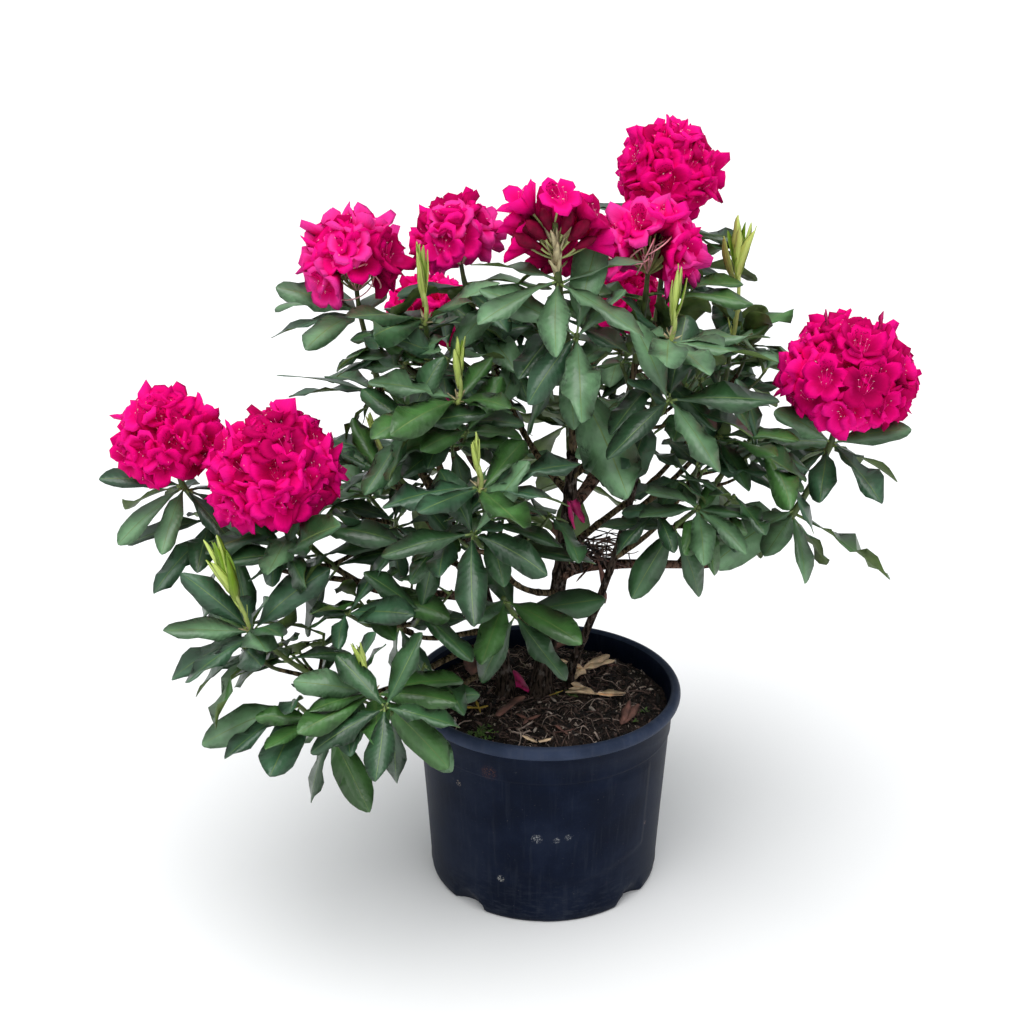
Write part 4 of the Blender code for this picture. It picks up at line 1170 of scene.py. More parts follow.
def petal_finish(name, colour, lip, spots=0.0):
    """Petal: painted shade darkening the throat, bright to the lip, fine streaks along it, hardly
    any gloss.
    """
    graph = Graph(name)
    run, turn, _ = graph.parts(graph.place("UV"))
    streak_place = graph.node("ShaderNodeCombineXYZ", values={0: run * 2.0, 1: turn * 55.0})
    streak = graph.noise(streak_place, 3.0, 3.0)
    patch = graph.noise(graph.place(), 55.0, 2.0)
    # Painted shade: the colour falls to 0.38 of itself down in the throat of the funnel
    base = graph.mix(graph.step(run, 0.12, 0.55), darker(colour, 0.38), colour)
    base = graph.mix(graph.step(run, 0.50, 0.98), base, lip)
    base = graph.mix(graph.step(streak, 0.45, 0.75) * 0.30, base, darker(colour, 0.70))
    blush = mixed(lip, (1.0, 0.020, 0.36), 0.5)
    base = graph.mix(graph.step(patch, 0.55, 0.80) * 0.35, base, blush)
    if spots:
        spot = graph.step(graph.noise(graph.place(), 520.0, 1.0), 0.56, 0.62)
        base = graph.mix(spot * spots, base, (0.16, 0.001, 0.022))
    normal = graph.bump(streak * 0.6 + patch * 0.4, 0.0009, 0.7)
    return graph.finish(Base_Color=base, Roughness=0.65, Normal=normal, Specular_IOR_Level=0.02)


def bark_finish(name, colour, young, pale):
    """Thin flaking bark: long furrows, pale flakes and an olive tint on the smoother stretches."""
    graph = Graph(name)
    place = graph.place()
    long_grain = graph.noise(graph.stretched(place, (1.0, 1.0, 0.22)), 260.0, 4.0, 0.65)
    flake = graph.noise(graph.stretched(place, (1.0, 1.0, 0.45)), 190.0, 4.0, 0.6)
    base = graph.mix(graph.step(long_grain, 0.42, 0.58), darker(colour, 0.15), darker(colour, 1.8))
    base = graph.mix(graph.step(flake, 0.54, 0.64) * 0.75, base, pale)
    base = graph.mix(graph.step(flake, 0.30, 0.44) * -0.3 + 0.3, base, young)
    normal = graph.bump(long_grain * 0.8 + flake * 0.5, 0.0042)
    return graph.finish(Base_Color=base, Roughness=0.85, Normal=normal, Specular_IOR_Level=0.02)


def shoot_finish(name, foot, tip):
    """Young growth: pale and reddish at its foot, lime green to the tip, finely furrowed."""
    graph = Graph(name)
    run, across, _ = graph.parts(graph.place("UV"))
    furrow = graph.maths("SINE", across * (TURN * 5)) * 0.5 + 0.5
    patch = graph.noise(graph.place(), 120.0, 2.0)
    base = graph.mix(graph.step(run, 0.0, 0.5), foot, tip)
    base = graph.mix(furrow * 0.25, base, darker(tip, 0.6))
    base = graph.mix(graph.step(patch, 0.5, 0.8) * 0.3, base, mixed(tip, (0.65, 0.75, 0.25), 0.5))
    normal = graph.bump(furrow * 0.5 + patch * 0.5, 0.0005, 0.7)
    return graph.finish(Base_Color=base, Roughness=0.48, Normal=normal)


def near_spot(graph, place, spot, reach):
    """1 at a spot of the surface, falling to 0 at its reach."""
    values = {0: place, 1: spot}
    away = graph.node("ShaderNodeVectorMath", {"operation": "DISTANCE"}, values, output=1)
    return 1.0 - graph.step(away, reach * 0.45, reach)


def pot_finish(name, colour, dust, scuffs):
    """Moulded plastic: a fine grain, dust settled low and in patches, pale scuffs, dried mud."""
    graph = Graph(name)
    place = graph.place()
    height = graph.parts(place)[2]
    cloud = graph.noise(place, 14.0, 4.0, 0.6)
    speck = graph.noise(place, 420.0, 2.0)
    smear = graph.noise(graph.stretched(place, (1.0, 1.0, 3.0)), 60.0, 4.0, 0.7)
    streak = graph.noise(graph.stretched(place, (1.0, 1.0, 0.06)), 170.0, 3.0, 0.6)
    low = 1.0 - graph.step(height, 0.0, 0.075)
    dusty = graph.step(cloud, 0.45, 0.75) * 0.22 + low * graph.step(smear, 0.45, 0.66) * 0.60
    dusty = dusty + graph.step(streak, 0.50, 0.70) * 0.22
    base = graph.mix(graph.step(cloud, 0.3, 0.7), darker(colour, 0.75), darker(colour, 1.25))
    base = graph.mix(dusty, base, dust)
    base = graph.mix(graph.step(speck, 0.70, 0.78) * 0.25, base, (0.12, 0.115, 0.11))
    ragged = graph.step(graph.noise(place, 620.0, 4.0, 0.8), 0.50, 0.60)
    for spot, reach, tint in scuffs:
        base = graph.mix(near_spot(graph, place, spot, reach) * ragged, base, tint)
    normal = graph.bump(speck * 0.3 + cloud * 0.7, 0.0007, 0.5)
    rough = dusty * 0.2 + 0.42
    return graph.finish(Base_Color=base, Roughness=rough, Normal=normal, Specular_IOR_Level=0.05)


def soil_finish(name, colour):
    """Peat and bark crumbs: patches of tone that go darkest where the bump is low, a painted shade
    in the hollows, brown grains and a few pale fibres.
    """
    graph = Graph(name)
    place = graph.place()
    coarse = graph.noise(place, 95.0, 5.0, 0.7)
    fine = graph.noise(place, 420.0, 4.0, 0.7)
    fibre = graph.noise(graph.stretched(place, (0.25, 1.0, 1.0)), 520.0, 2.0)
    # The noise that darkens the colour also lowers the bump, so the dark end is partly tone and
    # partly painted shade in the hollows
    base = graph.mix(graph.step(coarse, 0.40, 0.62), darker(colour, 0.20), darker(colour, 2.0))
    base = graph.mix(graph.step(fine, 0.57, 0.70) * 0.7, base, (0.170, 0.125, 0.105))
    base = graph.mix(graph.step(fibre, 0.66, 0.76) * 0.8, base, (0.42, 0.35, 0.30))
    normal = graph.bump(coarse * 0.6 + fine * 0.5, 0.0035)
    return graph.finish(Base_Color=base, Roughness=0.93, Normal=normal, Specular_IOR_Level=0.25)


# What a user would change


def number_setting(name, description, default, low, high, **extra):
    return bpy.props.FloatProperty(
        name=name, description=description, default=default, min=low, max=high, **extra
    )


def colour_setting(name, description, default):
    return bpy.props.FloatVectorProperty(
        name=name, description=description, default=default, subtype="COLOR", size=3, min=0, max=1
    )


class PlantSizes(bpy.types.PropertyGroup):
    """Sizes of the plant's fine parts."""

    leaf_width: number_setting(
        "Leaf width", "Width of a grown leaf as a share of its length", GROWN_BLADE.width, 0.2, 0.6
    )
    leaf_wave: number_setting(
        "Leaf wave",
        "Height of the wave of a leaf's margin as a share of its half width",
        GROWN_BLADE.wave,
        0.0,
        0.4,
    )
    floret_size: number_setting(
        "Flower size", "Radius of one open flower", FLORET_SIZE, 0.015, 0.045, unit="LENGTH"
    )
    bark_relief: number_setting(
        "Bark relief", "Depth of the bark's furrows as a share of the limb's radius", 0.15, 0.0, 0.3
    )
    crumbs: bpy.props.IntProperty(
        name="Soil crumbs",
        description="Number of loose crumbs on the soil",
        default=2400,
        min=0,
        max=6000,
    )


class PlantColours(bpy.types.PropertyGroup):
    """Colours of the plant and its pot."""

    leaf: colour_setting("Leaf", "Upper side of a grown leaf", (0.033, 0.101, 0.034))
    under: colour_setting("Leaf underside", "Lower side of a grown leaf", (0.075, 0.125, 0.024))
    rib: colour_setting("Midrib", "Midrib and petiole", (0.120, 0.195, 0.055))
    bloom: colour_setting("Flower", "Petals away from the lip", (0.500, 0.001, 0.088))
    lip: colour_setting("Flower lip", "Petals near their edge", (0.860, 0.002, 0.200))
    bud: colour_setting("Flower bud", "Closed flower buds", (0.150, 0.001, 0.022))
    shoot: colour_setting("Young shoot", "New leaves that are still rolled", (0.640, 0.780, 0.180))
    bark: colour_setting("Bark", "Old stems", (0.035, 0.025, 0.020))
    pot: colour_setting("Pot", "Moulded wall of the pot", (0.0036, 0.0074, 0.0205))
    rim: colour_setting("Pot rim", "Rolled rim of the pot", (0.028, 0.040, 0.074))
    soil: colour_setting("Soil", "Potting soil", (0.017, 0.011, 0.009))


class StageLook(bpy.types.PropertyGroup):
    """Floor and light."""

    floor_size: bpy.props.FloatProperty(
        name="Floor size",
        description="Side of the square floor",
        default=60.0,
        min=1.0,
        unit="LENGTH",
    )
    floor_colour: colour_setting("Floor", "Plain pale floor", (0.92, 0.92, 0.92))
    sky_strength: number_setting(
        "Sky strength", "Strength of the even light from all round", 0.60, 0.0, 5.0
    )
    lamp_power: number_setting(
        "Sun strength", "Strength of the wide soft sun above", 2.7, 0.0, 20.0
    )


def sizes():
    return bpy.context.scene.rhododendron_sizes


def colours():
    return bpy.context.scene.rhododendron_colours


def stage_look():
    return bpy.context.scene.rhododendron_stage


# Finishes, made once each and shared by the pieces

# Tones of the leaf colour, each a tint and a roughness. The last tone is a painted sheen: the leaf
# colour lightened and greyed where upper leaves would reflect the sky.
LEAF_TONES = {
    "leaf_deep": (0.62, 0.68, 0.75, 0.38),
    "leaf_plain": (1.00, 1.00, 1.00, 0.38),
    "leaf_blue": (1.00, 1.00, 1.35, 0.40),
    "leaf_fresh": (1.50, 1.45, 0.90, 0.38),
    "leaf_pale": (3.30, 2.25, 3.10, 0.44),
}

POT_SCUFFS = [
    ((-0.009, -0.1410, 0.118), 0.0075, (0.30, 0.31, 0.32)),
    ((0.013, -0.1405, 0.116), 0.0050, (0.26, 0.27, 0.28)),
    ((0.026, -0.1390, 0.119), 0.0050, (0.24, 0.25, 0.26)),
    ((-0.050, -0.1290, 0.056), 0.0055, (0.42, 0.42, 0.40)),
    ((-0.062, -0.1330, 0.197), 0.0120, (0.075, 0.034, 0.026)),
    ((-0.098, -0.1080, 0.168), 0.0050, (0.36, 0.30, 0.24)),
    ((0.117, -0.0800, 0.100), 0.0050, (0.17, 0.12, 0.12)),
]

# Plain finishes: colour, roughness, scale of the patches, contrast, and relief where it is deeper
PLAIN_FINISHES = {
    "petiole": ((0.230, 0.320, 0.095), 0.5, 60.0, 0.25),
    "twig_green": ((0.060, 0.092, 0.018), 0.5, 90.0, 0.45, 0.0006),
    "stamen": ((0.80, 0.020, 0.24), 0.5, 200.0, 0.1),
    "anther": ((0.90, 0.52, 0.55), 0.6, 300.0, 0.3),
    "stalk_green": ((0.30, 0.34, 0.12), 0.5, 150.0, 0.25),
    "stalk_pink": ((0.86, 0.44, 0.46), 0.5, 150.0, 0.25),
    "bract": ((0.50, 0.42, 0.24), 0.6, 160.0, 0.3),
    "crumb_dark": ((0.011, 0.008, 0.007), 0.9, 200.0, 0.6, 0.001),
    "crumb_brown": ((0.100, 0.062, 0.050), 0.9, 200.0, 0.6, 0.001),
    "crumb_grey": ((0.420, 0.350, 0.300), 0.9, 200.0, 0.5, 0.001),
    "root_fibre": ((0.420, 0.320, 0.270), 0.8, 200.0, 0.5, 0.001),
    "dry_tan": ((0.920, 0.660, 0.430), 0.7, 90.0, 0.35, 0.001),
    "dry_brown": ((0.190, 0.085, 0.066), 0.75, 90.0, 0.4, 0.001),
    "dry_yellow": ((0.480, 0.330, 0.050), 0.7, 90.0, 0.35, 0.001),
    "weed": ((0.090, 0.180, 0.030), 0.6, 90.0, 0.35, 0.001),
    "petal_fallen": ((0.480, 0.004, 0.130), 0.6, 90.0, 0.35, 0.001),
}
BROWN, OLIVE, GREY_BROWN = (0.075, 0.056, 0.032), (0.055, 0.062, 0.020), (0.080, 0.060, 0.045)
REDDISH, YOUNG_BARK, MOSS = (0.130, 0.072, 0.052), (0.080, 0.058, 0.036), (0.06, 0.06, 0.03)
BOUGH_FLAKE, OLD_FLAKE = (0.150, 0.115, 0.095), (0.130, 0.112, 0.100)
# The lip of the lit petal copy is a painted highlight; the aged lip is the colour of older flowers
PAINTED_LIT_LIP, AGED_LIP = (0.98, 0.008, 0.27), (0.96, 0.045, 0.36)
YELLOW_GREEN, DEEP_LIME, DULL_GREEN = (0.50, 0.50, 0.16), (0.23, 0.40, 0.020), (0.30, 0.34, 0.12)
WALL_DUST, RIM_DUST = (0.024, 0.030, 0.044), (0.060, 0.068, 0.095)


def make_finish(key):
    c = colours()
    if key in LEAF_TONES:
        *tint, gloss = LEAF_TONES[key]
        return leaf_finish(key, tuple(a * b for a, b in zip(c.leaf, tint)), gloss)
    if key in PLAIN_FINISHES:
        return plain_finish(key, *PLAIN_FINISHES[key])
    bloom, lip = tuple(c.bloom), tuple(c.lip)
    make, *values = {
        "leaf_under": (plain_finish, c.under, 0.62, 40.0, 0.3),
        "leaf_rib": (plain_finish, c.rib, 0.5, 60.0, 0.2),
        "young_rib": (plain_finish, mixed(c.shoot, DULL_GREEN, 0.6), 0.5, 90.0, 0.2),
        "flower_bud": (plain_finish, c.bud, 0.5, 120.0, 0.35, 0.0004, 0.08),
        "twig_brown": (bark_finish, BROWN, OLIVE, GREY_BROWN),
        "old_bark": (bark_finish, tuple(c.bark), mixed(c.bark, MOSS, 0.3), OLD_FLAKE),
        "bough_bark": (bark_finish, mixed(c.bark, REDDISH, 0.6), YOUNG_BARK, BOUGH_FLAKE),
        # A lit and a shaded copy of the petal colour: painted highlight and painted shade
        "petal": (petal_finish, bloom, lip),
        "petal_bright": (petal_finish, mixed(bloom, lip, 0.6), PAINTED_LIT_LIP),
        "petal_deep": (petal_finish, darker(bloom, 0.62), mixed(bloom, lip, 0.1)),
        "petal_aged": (petal_finish, mixed(bloom, lip, 0.7), AGED_LIP),
        "petal_spotted": (petal_finish, bloom, lip, 0.75),
        "young_leaf": (shoot_finish, mixed(c.shoot, YELLOW_GREEN, 0.5), c.shoot),
        "young_deep": (shoot_finish, darker(c.shoot, 0.6), DEEP_LIME),
        "pot_wall": (pot_finish, tuple(c.pot), WALL_DUST, POT_SCUFFS),
        "pot_rim": (pot_finish, tuple(c.rim), RIM_DUST, ()),
        "soil": (soil_finish, tuple(c.soil)),
    }[key]
    return make(key, *values)


def finish(key):
    return bpy.data.materials.get(key) or make_finish(key)


# Pieces: pot and soil

RIM_ROLL = 0.016
BAND_RADIUS = 0.1490
BAND_DROP = 0.033
BAND_STEP = 0.0015
FOOT_RADIUS = 0.1335
FOOT_STEP = 0.003
FOOT_TAPER_HEIGHT = 0.022
WALL = 0.0030
FLOOR = 0.0060
CORNER_WEB = 0.034
DENT_COUNT = 4
DENT_AZIMUTH = math.radians(-41)
DENT_RADIUS = 0.034
DENT_TOP_RADIUS = 0.008
DENT_HEIGHT = 0.040
DENT_CENTRE = 0.152
HOLE_RADIUS = 0.007
HOLE_CENTRE = 0.072
SOIL_EDGE_TOP = 0.214
SOIL_FLAT_RADIUS = 0.062
POT_CORNERS = 288
PANEL_LEFT, PANEL_RIGHT = math.radians(-24), math.radians(55)
PANEL_TOP, PANEL_LOW, PANEL_POINT = 0.185, 0.074, 0.052
PANEL_DEPTH = 0.0011
PANEL_SIDE, PANEL_FOOT, PANEL_HEAD = 0.016, 0.003, 0.004
DENT_SINK = 0.002
ROLL_OUT, ROLL_UP, ROLL_ROWS = 0.0062, 0.0080, 16
WALL_WAVE = 0.00035
SOIL_ROWS, SOIL_CORNERS = 90, 300
SOIL_STEP, SOIL_LUMPS, SOIL_GRAINS = 0.004, 0.0016, 0.0012
CRUMB_CORNERS = 5


def wall_radius(height):
    """Outer radius of the plain wall, a straight taper from the band to the foot."""
    share = (height - FOOT_TAPER_HEIGHT) / (POT_HEIGHT - RIM_ROLL - FOOT_TAPER_HEIGHT)
    return FOOT_RADIUS + FOOT_STEP + share * (BAND_RADIUS - FOOT_RADIUS - FOOT_STEP)


def pot_profile():
    """Radius and height from the middle of the underside, up outside, over the roll, down inside.

    Also the number of rows before the roll.
    """
    top, rim, under = POT_HEIGHT, POT_RIM_RADIUS, POT_HEIGHT - RIM_ROLL
    band_foot = under - BAND_DROP
    foot = [(0.02, 0.0), (0.06, 0.0), (0.10, 0.0), (FOOT_RADIUS - 0.0050, 0.0)]
    foot += [(FOOT_RADIUS - 0.0018, 0.0009), (FOOT_RADIUS, 0.0040), (FOOT_RADIUS + 0.0015, 0.0130)]
    heights = np.linspace(FOOT_TAPER_HEIGHT, band_foot - 0.003, 40)
    wall = [(wall_radius(h) - BAND_STEP, h) for h in heights]
    step = wall_radius(band_foot)
    band = [(step - 0.0012, band_foot - 0.0012), (step, band_foot)]
    band += [(step + 0.0001, band_foot + 0.002), (BAND_RADIUS, under - 0.001)]
    turns = np.linspace(-0.42 * math.pi, 0.80 * math.pi, ROLL_ROWS)
    radii = [rim - ROLL_OUT + ROLL_OUT * math.cos(a) for a in turns]
    roll = [(radius, top - ROLL_UP + ROLL_UP * math.sin(a)) for radius, a in zip(radii, turns)]
    inner_top = wall_radius(under) - BAND_STEP - WALL
    inner = [(inner_top + 0.0004, under - 0.002), (inner_top - 0.0009, SOIL_EDGE_TOP)]
    web = wall_radius(CORNER_WEB) - WALL - BAND_STEP
    inner += [(web, CORNER_WEB + FLOOR), (web - CORNER_WEB, FLOOR), (0.05, FLOOR), (0.02, FLOOR)]
    return np.array(foot + wall + band + roll + inner), len(foot) + len(wall) + len(band)


def dented(radius, height, angle):
    """The wall's radius where a dent's cone cuts it: the ray's distance to the cone's near side."""
    rise = np.clip(height + DENT_SINK, 0, None)
    spread = DENT_RADIUS + (DENT_TOP_RADIUS - DENT_RADIUS) * rise / DENT_HEIGHT
    for i in range(DENT_COUNT):
        turn = angle - (DENT_AZIMUTH + i * TURN / DENT_COUNT)
        chord = spread**2 - (DENT_CENTRE * np.sin(turn)) ** 2
        cut = DENT_CENTRE * np.cos(turn) - np.sqrt(np.maximum(chord, 0))
        hit = (chord > 0) & (spread > 0) & (np.cos(turn) > 0)
        radius = np.where(hit, np.minimum(radius, cut), radius)
    return radius


def panel_relief(height, angle):
    """A plain panel in the wall, with upright sides and a foot that comes to a low point."""
    turn = (angle + math.pi) % TURN - math.pi
    share = (turn - PANEL_LEFT) / (PANEL_RIGHT - PANEL_LEFT)
    foot = PANEL_LOW - (PANEL_LOW - PANEL_POINT) * (1 - np.abs(2 * share - 1))
    inside = np.clip(np.minimum(share, 1 - share) / PANEL_SIDE, 0, 1)
    inside = inside * np.clip((height - foot) / PANEL_FOOT, 0, 1)
    return PANEL_DEPTH * inside * np.clip((PANEL_TOP - height) / PANEL_HEAD, 0, 1)


def turned_skin(skins, radius, height, angle, slots):
    """One skin turned about Z from grids of radius and height: x is r sin a, y is -r cos a."""
    rings = np.stack([radius * np.sin(angle), -radius * np.cos(angle), height], axis=-1)[None]
    starts, ends = (np.array([[0, 0, height[row, 0]]]) for row in (0, -1))
    skins.add(rings, starts, ends, np.linspace(0, 1, len(radius)), angle[0] / TURN, slots)


class RHODODENDRON_OT_pot(bpy.types.Operator):
    """Nursery pot with a rolled rim, a band, a panel, drainage dents and holes"""

    bl_idname = "rhododendron.pot"
    bl_label = "Pot"

    def execute(self, context):
        profile, outside = pot_profile()
        angle = np.broadcast_to(evenly(POT_CORNERS), (len(profile), POT_CORNERS))
        radius = np.broadcast_to(profile[:, :1], angle.shape).copy()
        height = np.broadcast_to(profile[:, 1:], angle.shape)
        outer = np.arange(len(profile)) < outside
        unrolled = np.stack([angle / 3, angle * 0, height * 4], axis=-1)
        relief = panel_relief(height, angle) + WALL_WAVE * wavy(unrolled, 3, 5, 0.8, 3.0)
        radius[outer] = dented(radius + relief, height, angle)[outer]
        slots = np.zeros((1, len(profile) - 1, 1), int)
        slots[0, outside - 1 : outside + ROLL_ROWS - 1] = 1
        skins = Skins()
        turned_skin(skins, radius, height, angle, slots)
        pot = make_piece("nursery_pot", skins, ["pot_wall", "pot_rim"], ["pot"])
        self.drill(pot)
        return {"FINISHED"}

    def drill(self, pot):
        """Cuts the drainage holes through the floor."""
        for turn in DENT_AZIMUTH + evenly(DENT_COUNT):
            shape = bmesh.new()
            radii = {"radius1": HOLE_RADIUS, "radius2": HOLE_RADIUS}
            bmesh.ops.create_cone(shape, cap_ends=True, segments=24, depth=4 * FLOOR, **radii)
            place = Vector((HOLE_CENTRE * math.sin(turn), -HOLE_CENTRE * math.cos(turn), FLOOR / 2))
            bmesh.ops.translate(shape, verts=shape.verts, vec=place)
            mesh = bpy.data.meshes.new("hole")
            shape.to_mesh(mesh)
            shape.free()
            hole = linked("hole", mesh)
            cut = pot.modifiers.new("Hole", "BOOLEAN")
            cut.operation = "DIFFERENCE"
            cut.object = hole
            bpy.context.view_layer.update()
            graph = bpy.context.evaluated_depsgraph_get()
            drilled = bpy.data.meshes.new_from_object(pot.evaluated_get(graph), depsgraph=graph)
            pot.modifiers.clear()
            pot.data = drilled
            bpy.data.objects.remove(hole)


def soil_height(x, y):
    """Height of the soil: flat about the stems, falling off to the wall, lumpy all over."""
    reach = np.hypot(x, y)
    inner = np.clip((reach - SOIL_FLAT_RADIUS) / 0.05, 0, 1)
    outer = np.clip((reach - 0.105) / 0.038, 0, 1)
    base = SOIL_TOP - SOIL_STEP * inner - (SOIL_TOP - SOIL_STEP - SOIL_EDGE_TOP) * outer**1.5
    place = np.stack([x, y, 0 * x], axis=-1)
    lumps = SOIL_LUMPS * wavy(place, 21, 7, 12, 40) + SOIL_GRAINS * wavy(place, 22, 12, 60, 170)
    return base - SOIL_LUMPS + lumps


class RHODODENDRON_OT_soil(bpy.types.Operator):
    """Potting soil with a lumpy top, filling the pot"""

    bl_idname = "rhododendron.soil"
    bl_label = "Potting soil"

    def execute(self, context):
        web = wall_radius(CORNER_WEB) - WALL - BAND_STEP
        low = np.array([(0.03, FLOOR), (web - CORNER_WEB - GAP, FLOOR), (web - GAP, CORNER_WEB)])
        low[:, 1] += (GAP, GAP, FLOOR)
        edge = wall_radius(SOIL_EDGE_TOP) - BAND_STEP - WALL - GAP - 0.0004
        reach = np.concatenate([low[:, 0], np.linspace(edge, 0.001, SOIL_ROWS)])[:, None]
        angle = np.broadcast_to(evenly(SOIL_CORNERS), (len(reach), SOIL_CORNERS))
        radius = np.broadcast_to(reach, angle.shape)
        height = soil_height(radius * np.sin(angle), -radius * np.cos(angle))
        height[: len(low)] = low[:, 1:]
        skins = Skins()
        turned_skin(skins, radius, height, angle, 0)
        make_piece("soil_surface", skins, ["soil"], ["soil"])
        return {"FINISHED"}


def crumb_skins(skins, places, widths, slots, dice):
    """Loose crumbs and chips: two rings of five corners, each pushed in or out at random."""
    count = len(widths)
    angle = evenly(CRUMB_CORNERS)
    stretch = dice.uniform([1.0, 0.4, 0.3], [2.6, 0.9, 0.8], (count, 1, 1, 3))
    stretch = stretch * widths[:, None, None, None]
    reach = dice.uniform(0.6, 1.2, (count, 2, CRUMB_CORNERS))
    height = np.broadcast_to(np.array([-0.45, 0.45])[None, :, None], reach.shape)
    local = np.stack([reach * np.cos(angle), reach * np.sin(angle), height], axis=-1)
    turns = random_turns(count, dice)
    pole = np.array([0.0, 0.0, 0.8]) * stretch[:, 0, 0]
    ends = np.einsum("mij,mj->mi", turns, pole)
    rings = placed(places, turns, local * stretch)
    u, v = np.zeros(2), np.zeros(CRUMB_CORNERS)
    skins.add(rings, places - ends, places + ends, u, v, slots[:, None, None])


def random_turns(count, dice):
    """Random right-handed axes, as matrices of columns."""
    first = unit(dice.normal(size=(count, 3)))
    second = unit(np.cross(first, dice.normal(size=(count, 3))))
    return np.stack([first, second, np.cross(first, second)], axis=-1)


def scattered(count, dice, inner=0.012, outer=0.138):
    """Places spread evenly over the soil's disc."""
    reach = np.sqrt(dice.uniform(inner**2, outer**2, count))
    turn = dice.uniform(0, TURN, count)
    return reach * np.sin(turn), -reach * np.cos(turn)


# Dry leaves on the soil: root, headings of the blades in degrees, length, finish
LITTER = [
    ((0.046, 0.044), (165, 182, 200, 262, 8, 38), 0.036, 0),
    ((0.058, -0.016), (150, 172, 196, -26, -10), 0.032, 0),
    ((-0.075, -0.050), (20, 110, 190, 280), 0.014, 2),
    ((-0.020, -0.075), (30, 150, 250), 0.018, 1),
    ((0.020, -0.100), (10, 130, 220, 300), 0.014, 1),
    ((0.085, -0.078), (55, 66), 0.042, 1),
    ((-0.056, -0.070), (48,), 0.040, 1),
    ((-0.019, -0.016), (125, 150), 0.034, 3),
    ((0.004, -0.023), (20, 80), 0.020, 2),
    ((0.006, 0.105), (12,), 0.045, 1),
    ((-0.080, 0.024), (108,), 0.050, 1),
    ((0.075, 0.060), (300, 340), 0.016, 1),
    ((-0.010, -0.118), (0, 165), 0.016, 0),
]
# Dry leaves caught in the boughs: root, tip, finish
CAUGHT = [
    ((0.058, -0.018, 0.404), (0.064, -0.026, 0.350), 1),
    ((0.057, -0.018, 0.404), (0.036, -0.022, 0.376), 1),
    ((0.058, -0.018, 0.406), (0.092, -0.020, 0.392), 1),
    ((0.300, -0.002, 0.664), (0.296, -0.004, 0.689), 3),
    ((0.355, -0.002, 0.660), (0.357, -0.004, 0.686), 3),
    ((0.026, -0.022, 0.486), (0.028, -0.034, 0.446), 3),
    ((0.026, -0.022, 0.486), (0.040, -0.030, 0.452), 3),
    ((-0.118, -0.044, 0.610), (-0.104, -0.060, 0.600), 3),
]
# Seedlings: the middle of each patch, and how many there are
WEED_PATCHES = [
    ((-0.072, -0.095), 26), ((0.030, -0.012), 8), ((0.105, -0.045), 8), ((0.0, 0.105), 10)
]
# The clot of dead stalks in the fork: its middle, its spread, and how many fibres it has
TANGLE, TANGLE_SPREAD, TANGLE_FIBRES = (0.052, -0.012, 0.412), (0.015, 0.006, 0.009), 70
TANGLE_LENGTH, TANGLE_THICKER = 0.034, 0.0004
# Root fibres: how many, how bent, and the limits of their length, lift and radius
FIBRES, FIBRE_ROWS, FIBRE_BEND = 800, 6, 0.7
FIBRE_LENGTHS, FIBRE_LIFTS, FIBRE_RADII = (0.006, 0.055), (0.001, 0.006), (0.00018, 0.0014)
INSIDE_POT = 0.142
CRUMB_SIZES = (0.0005, 0.0038)


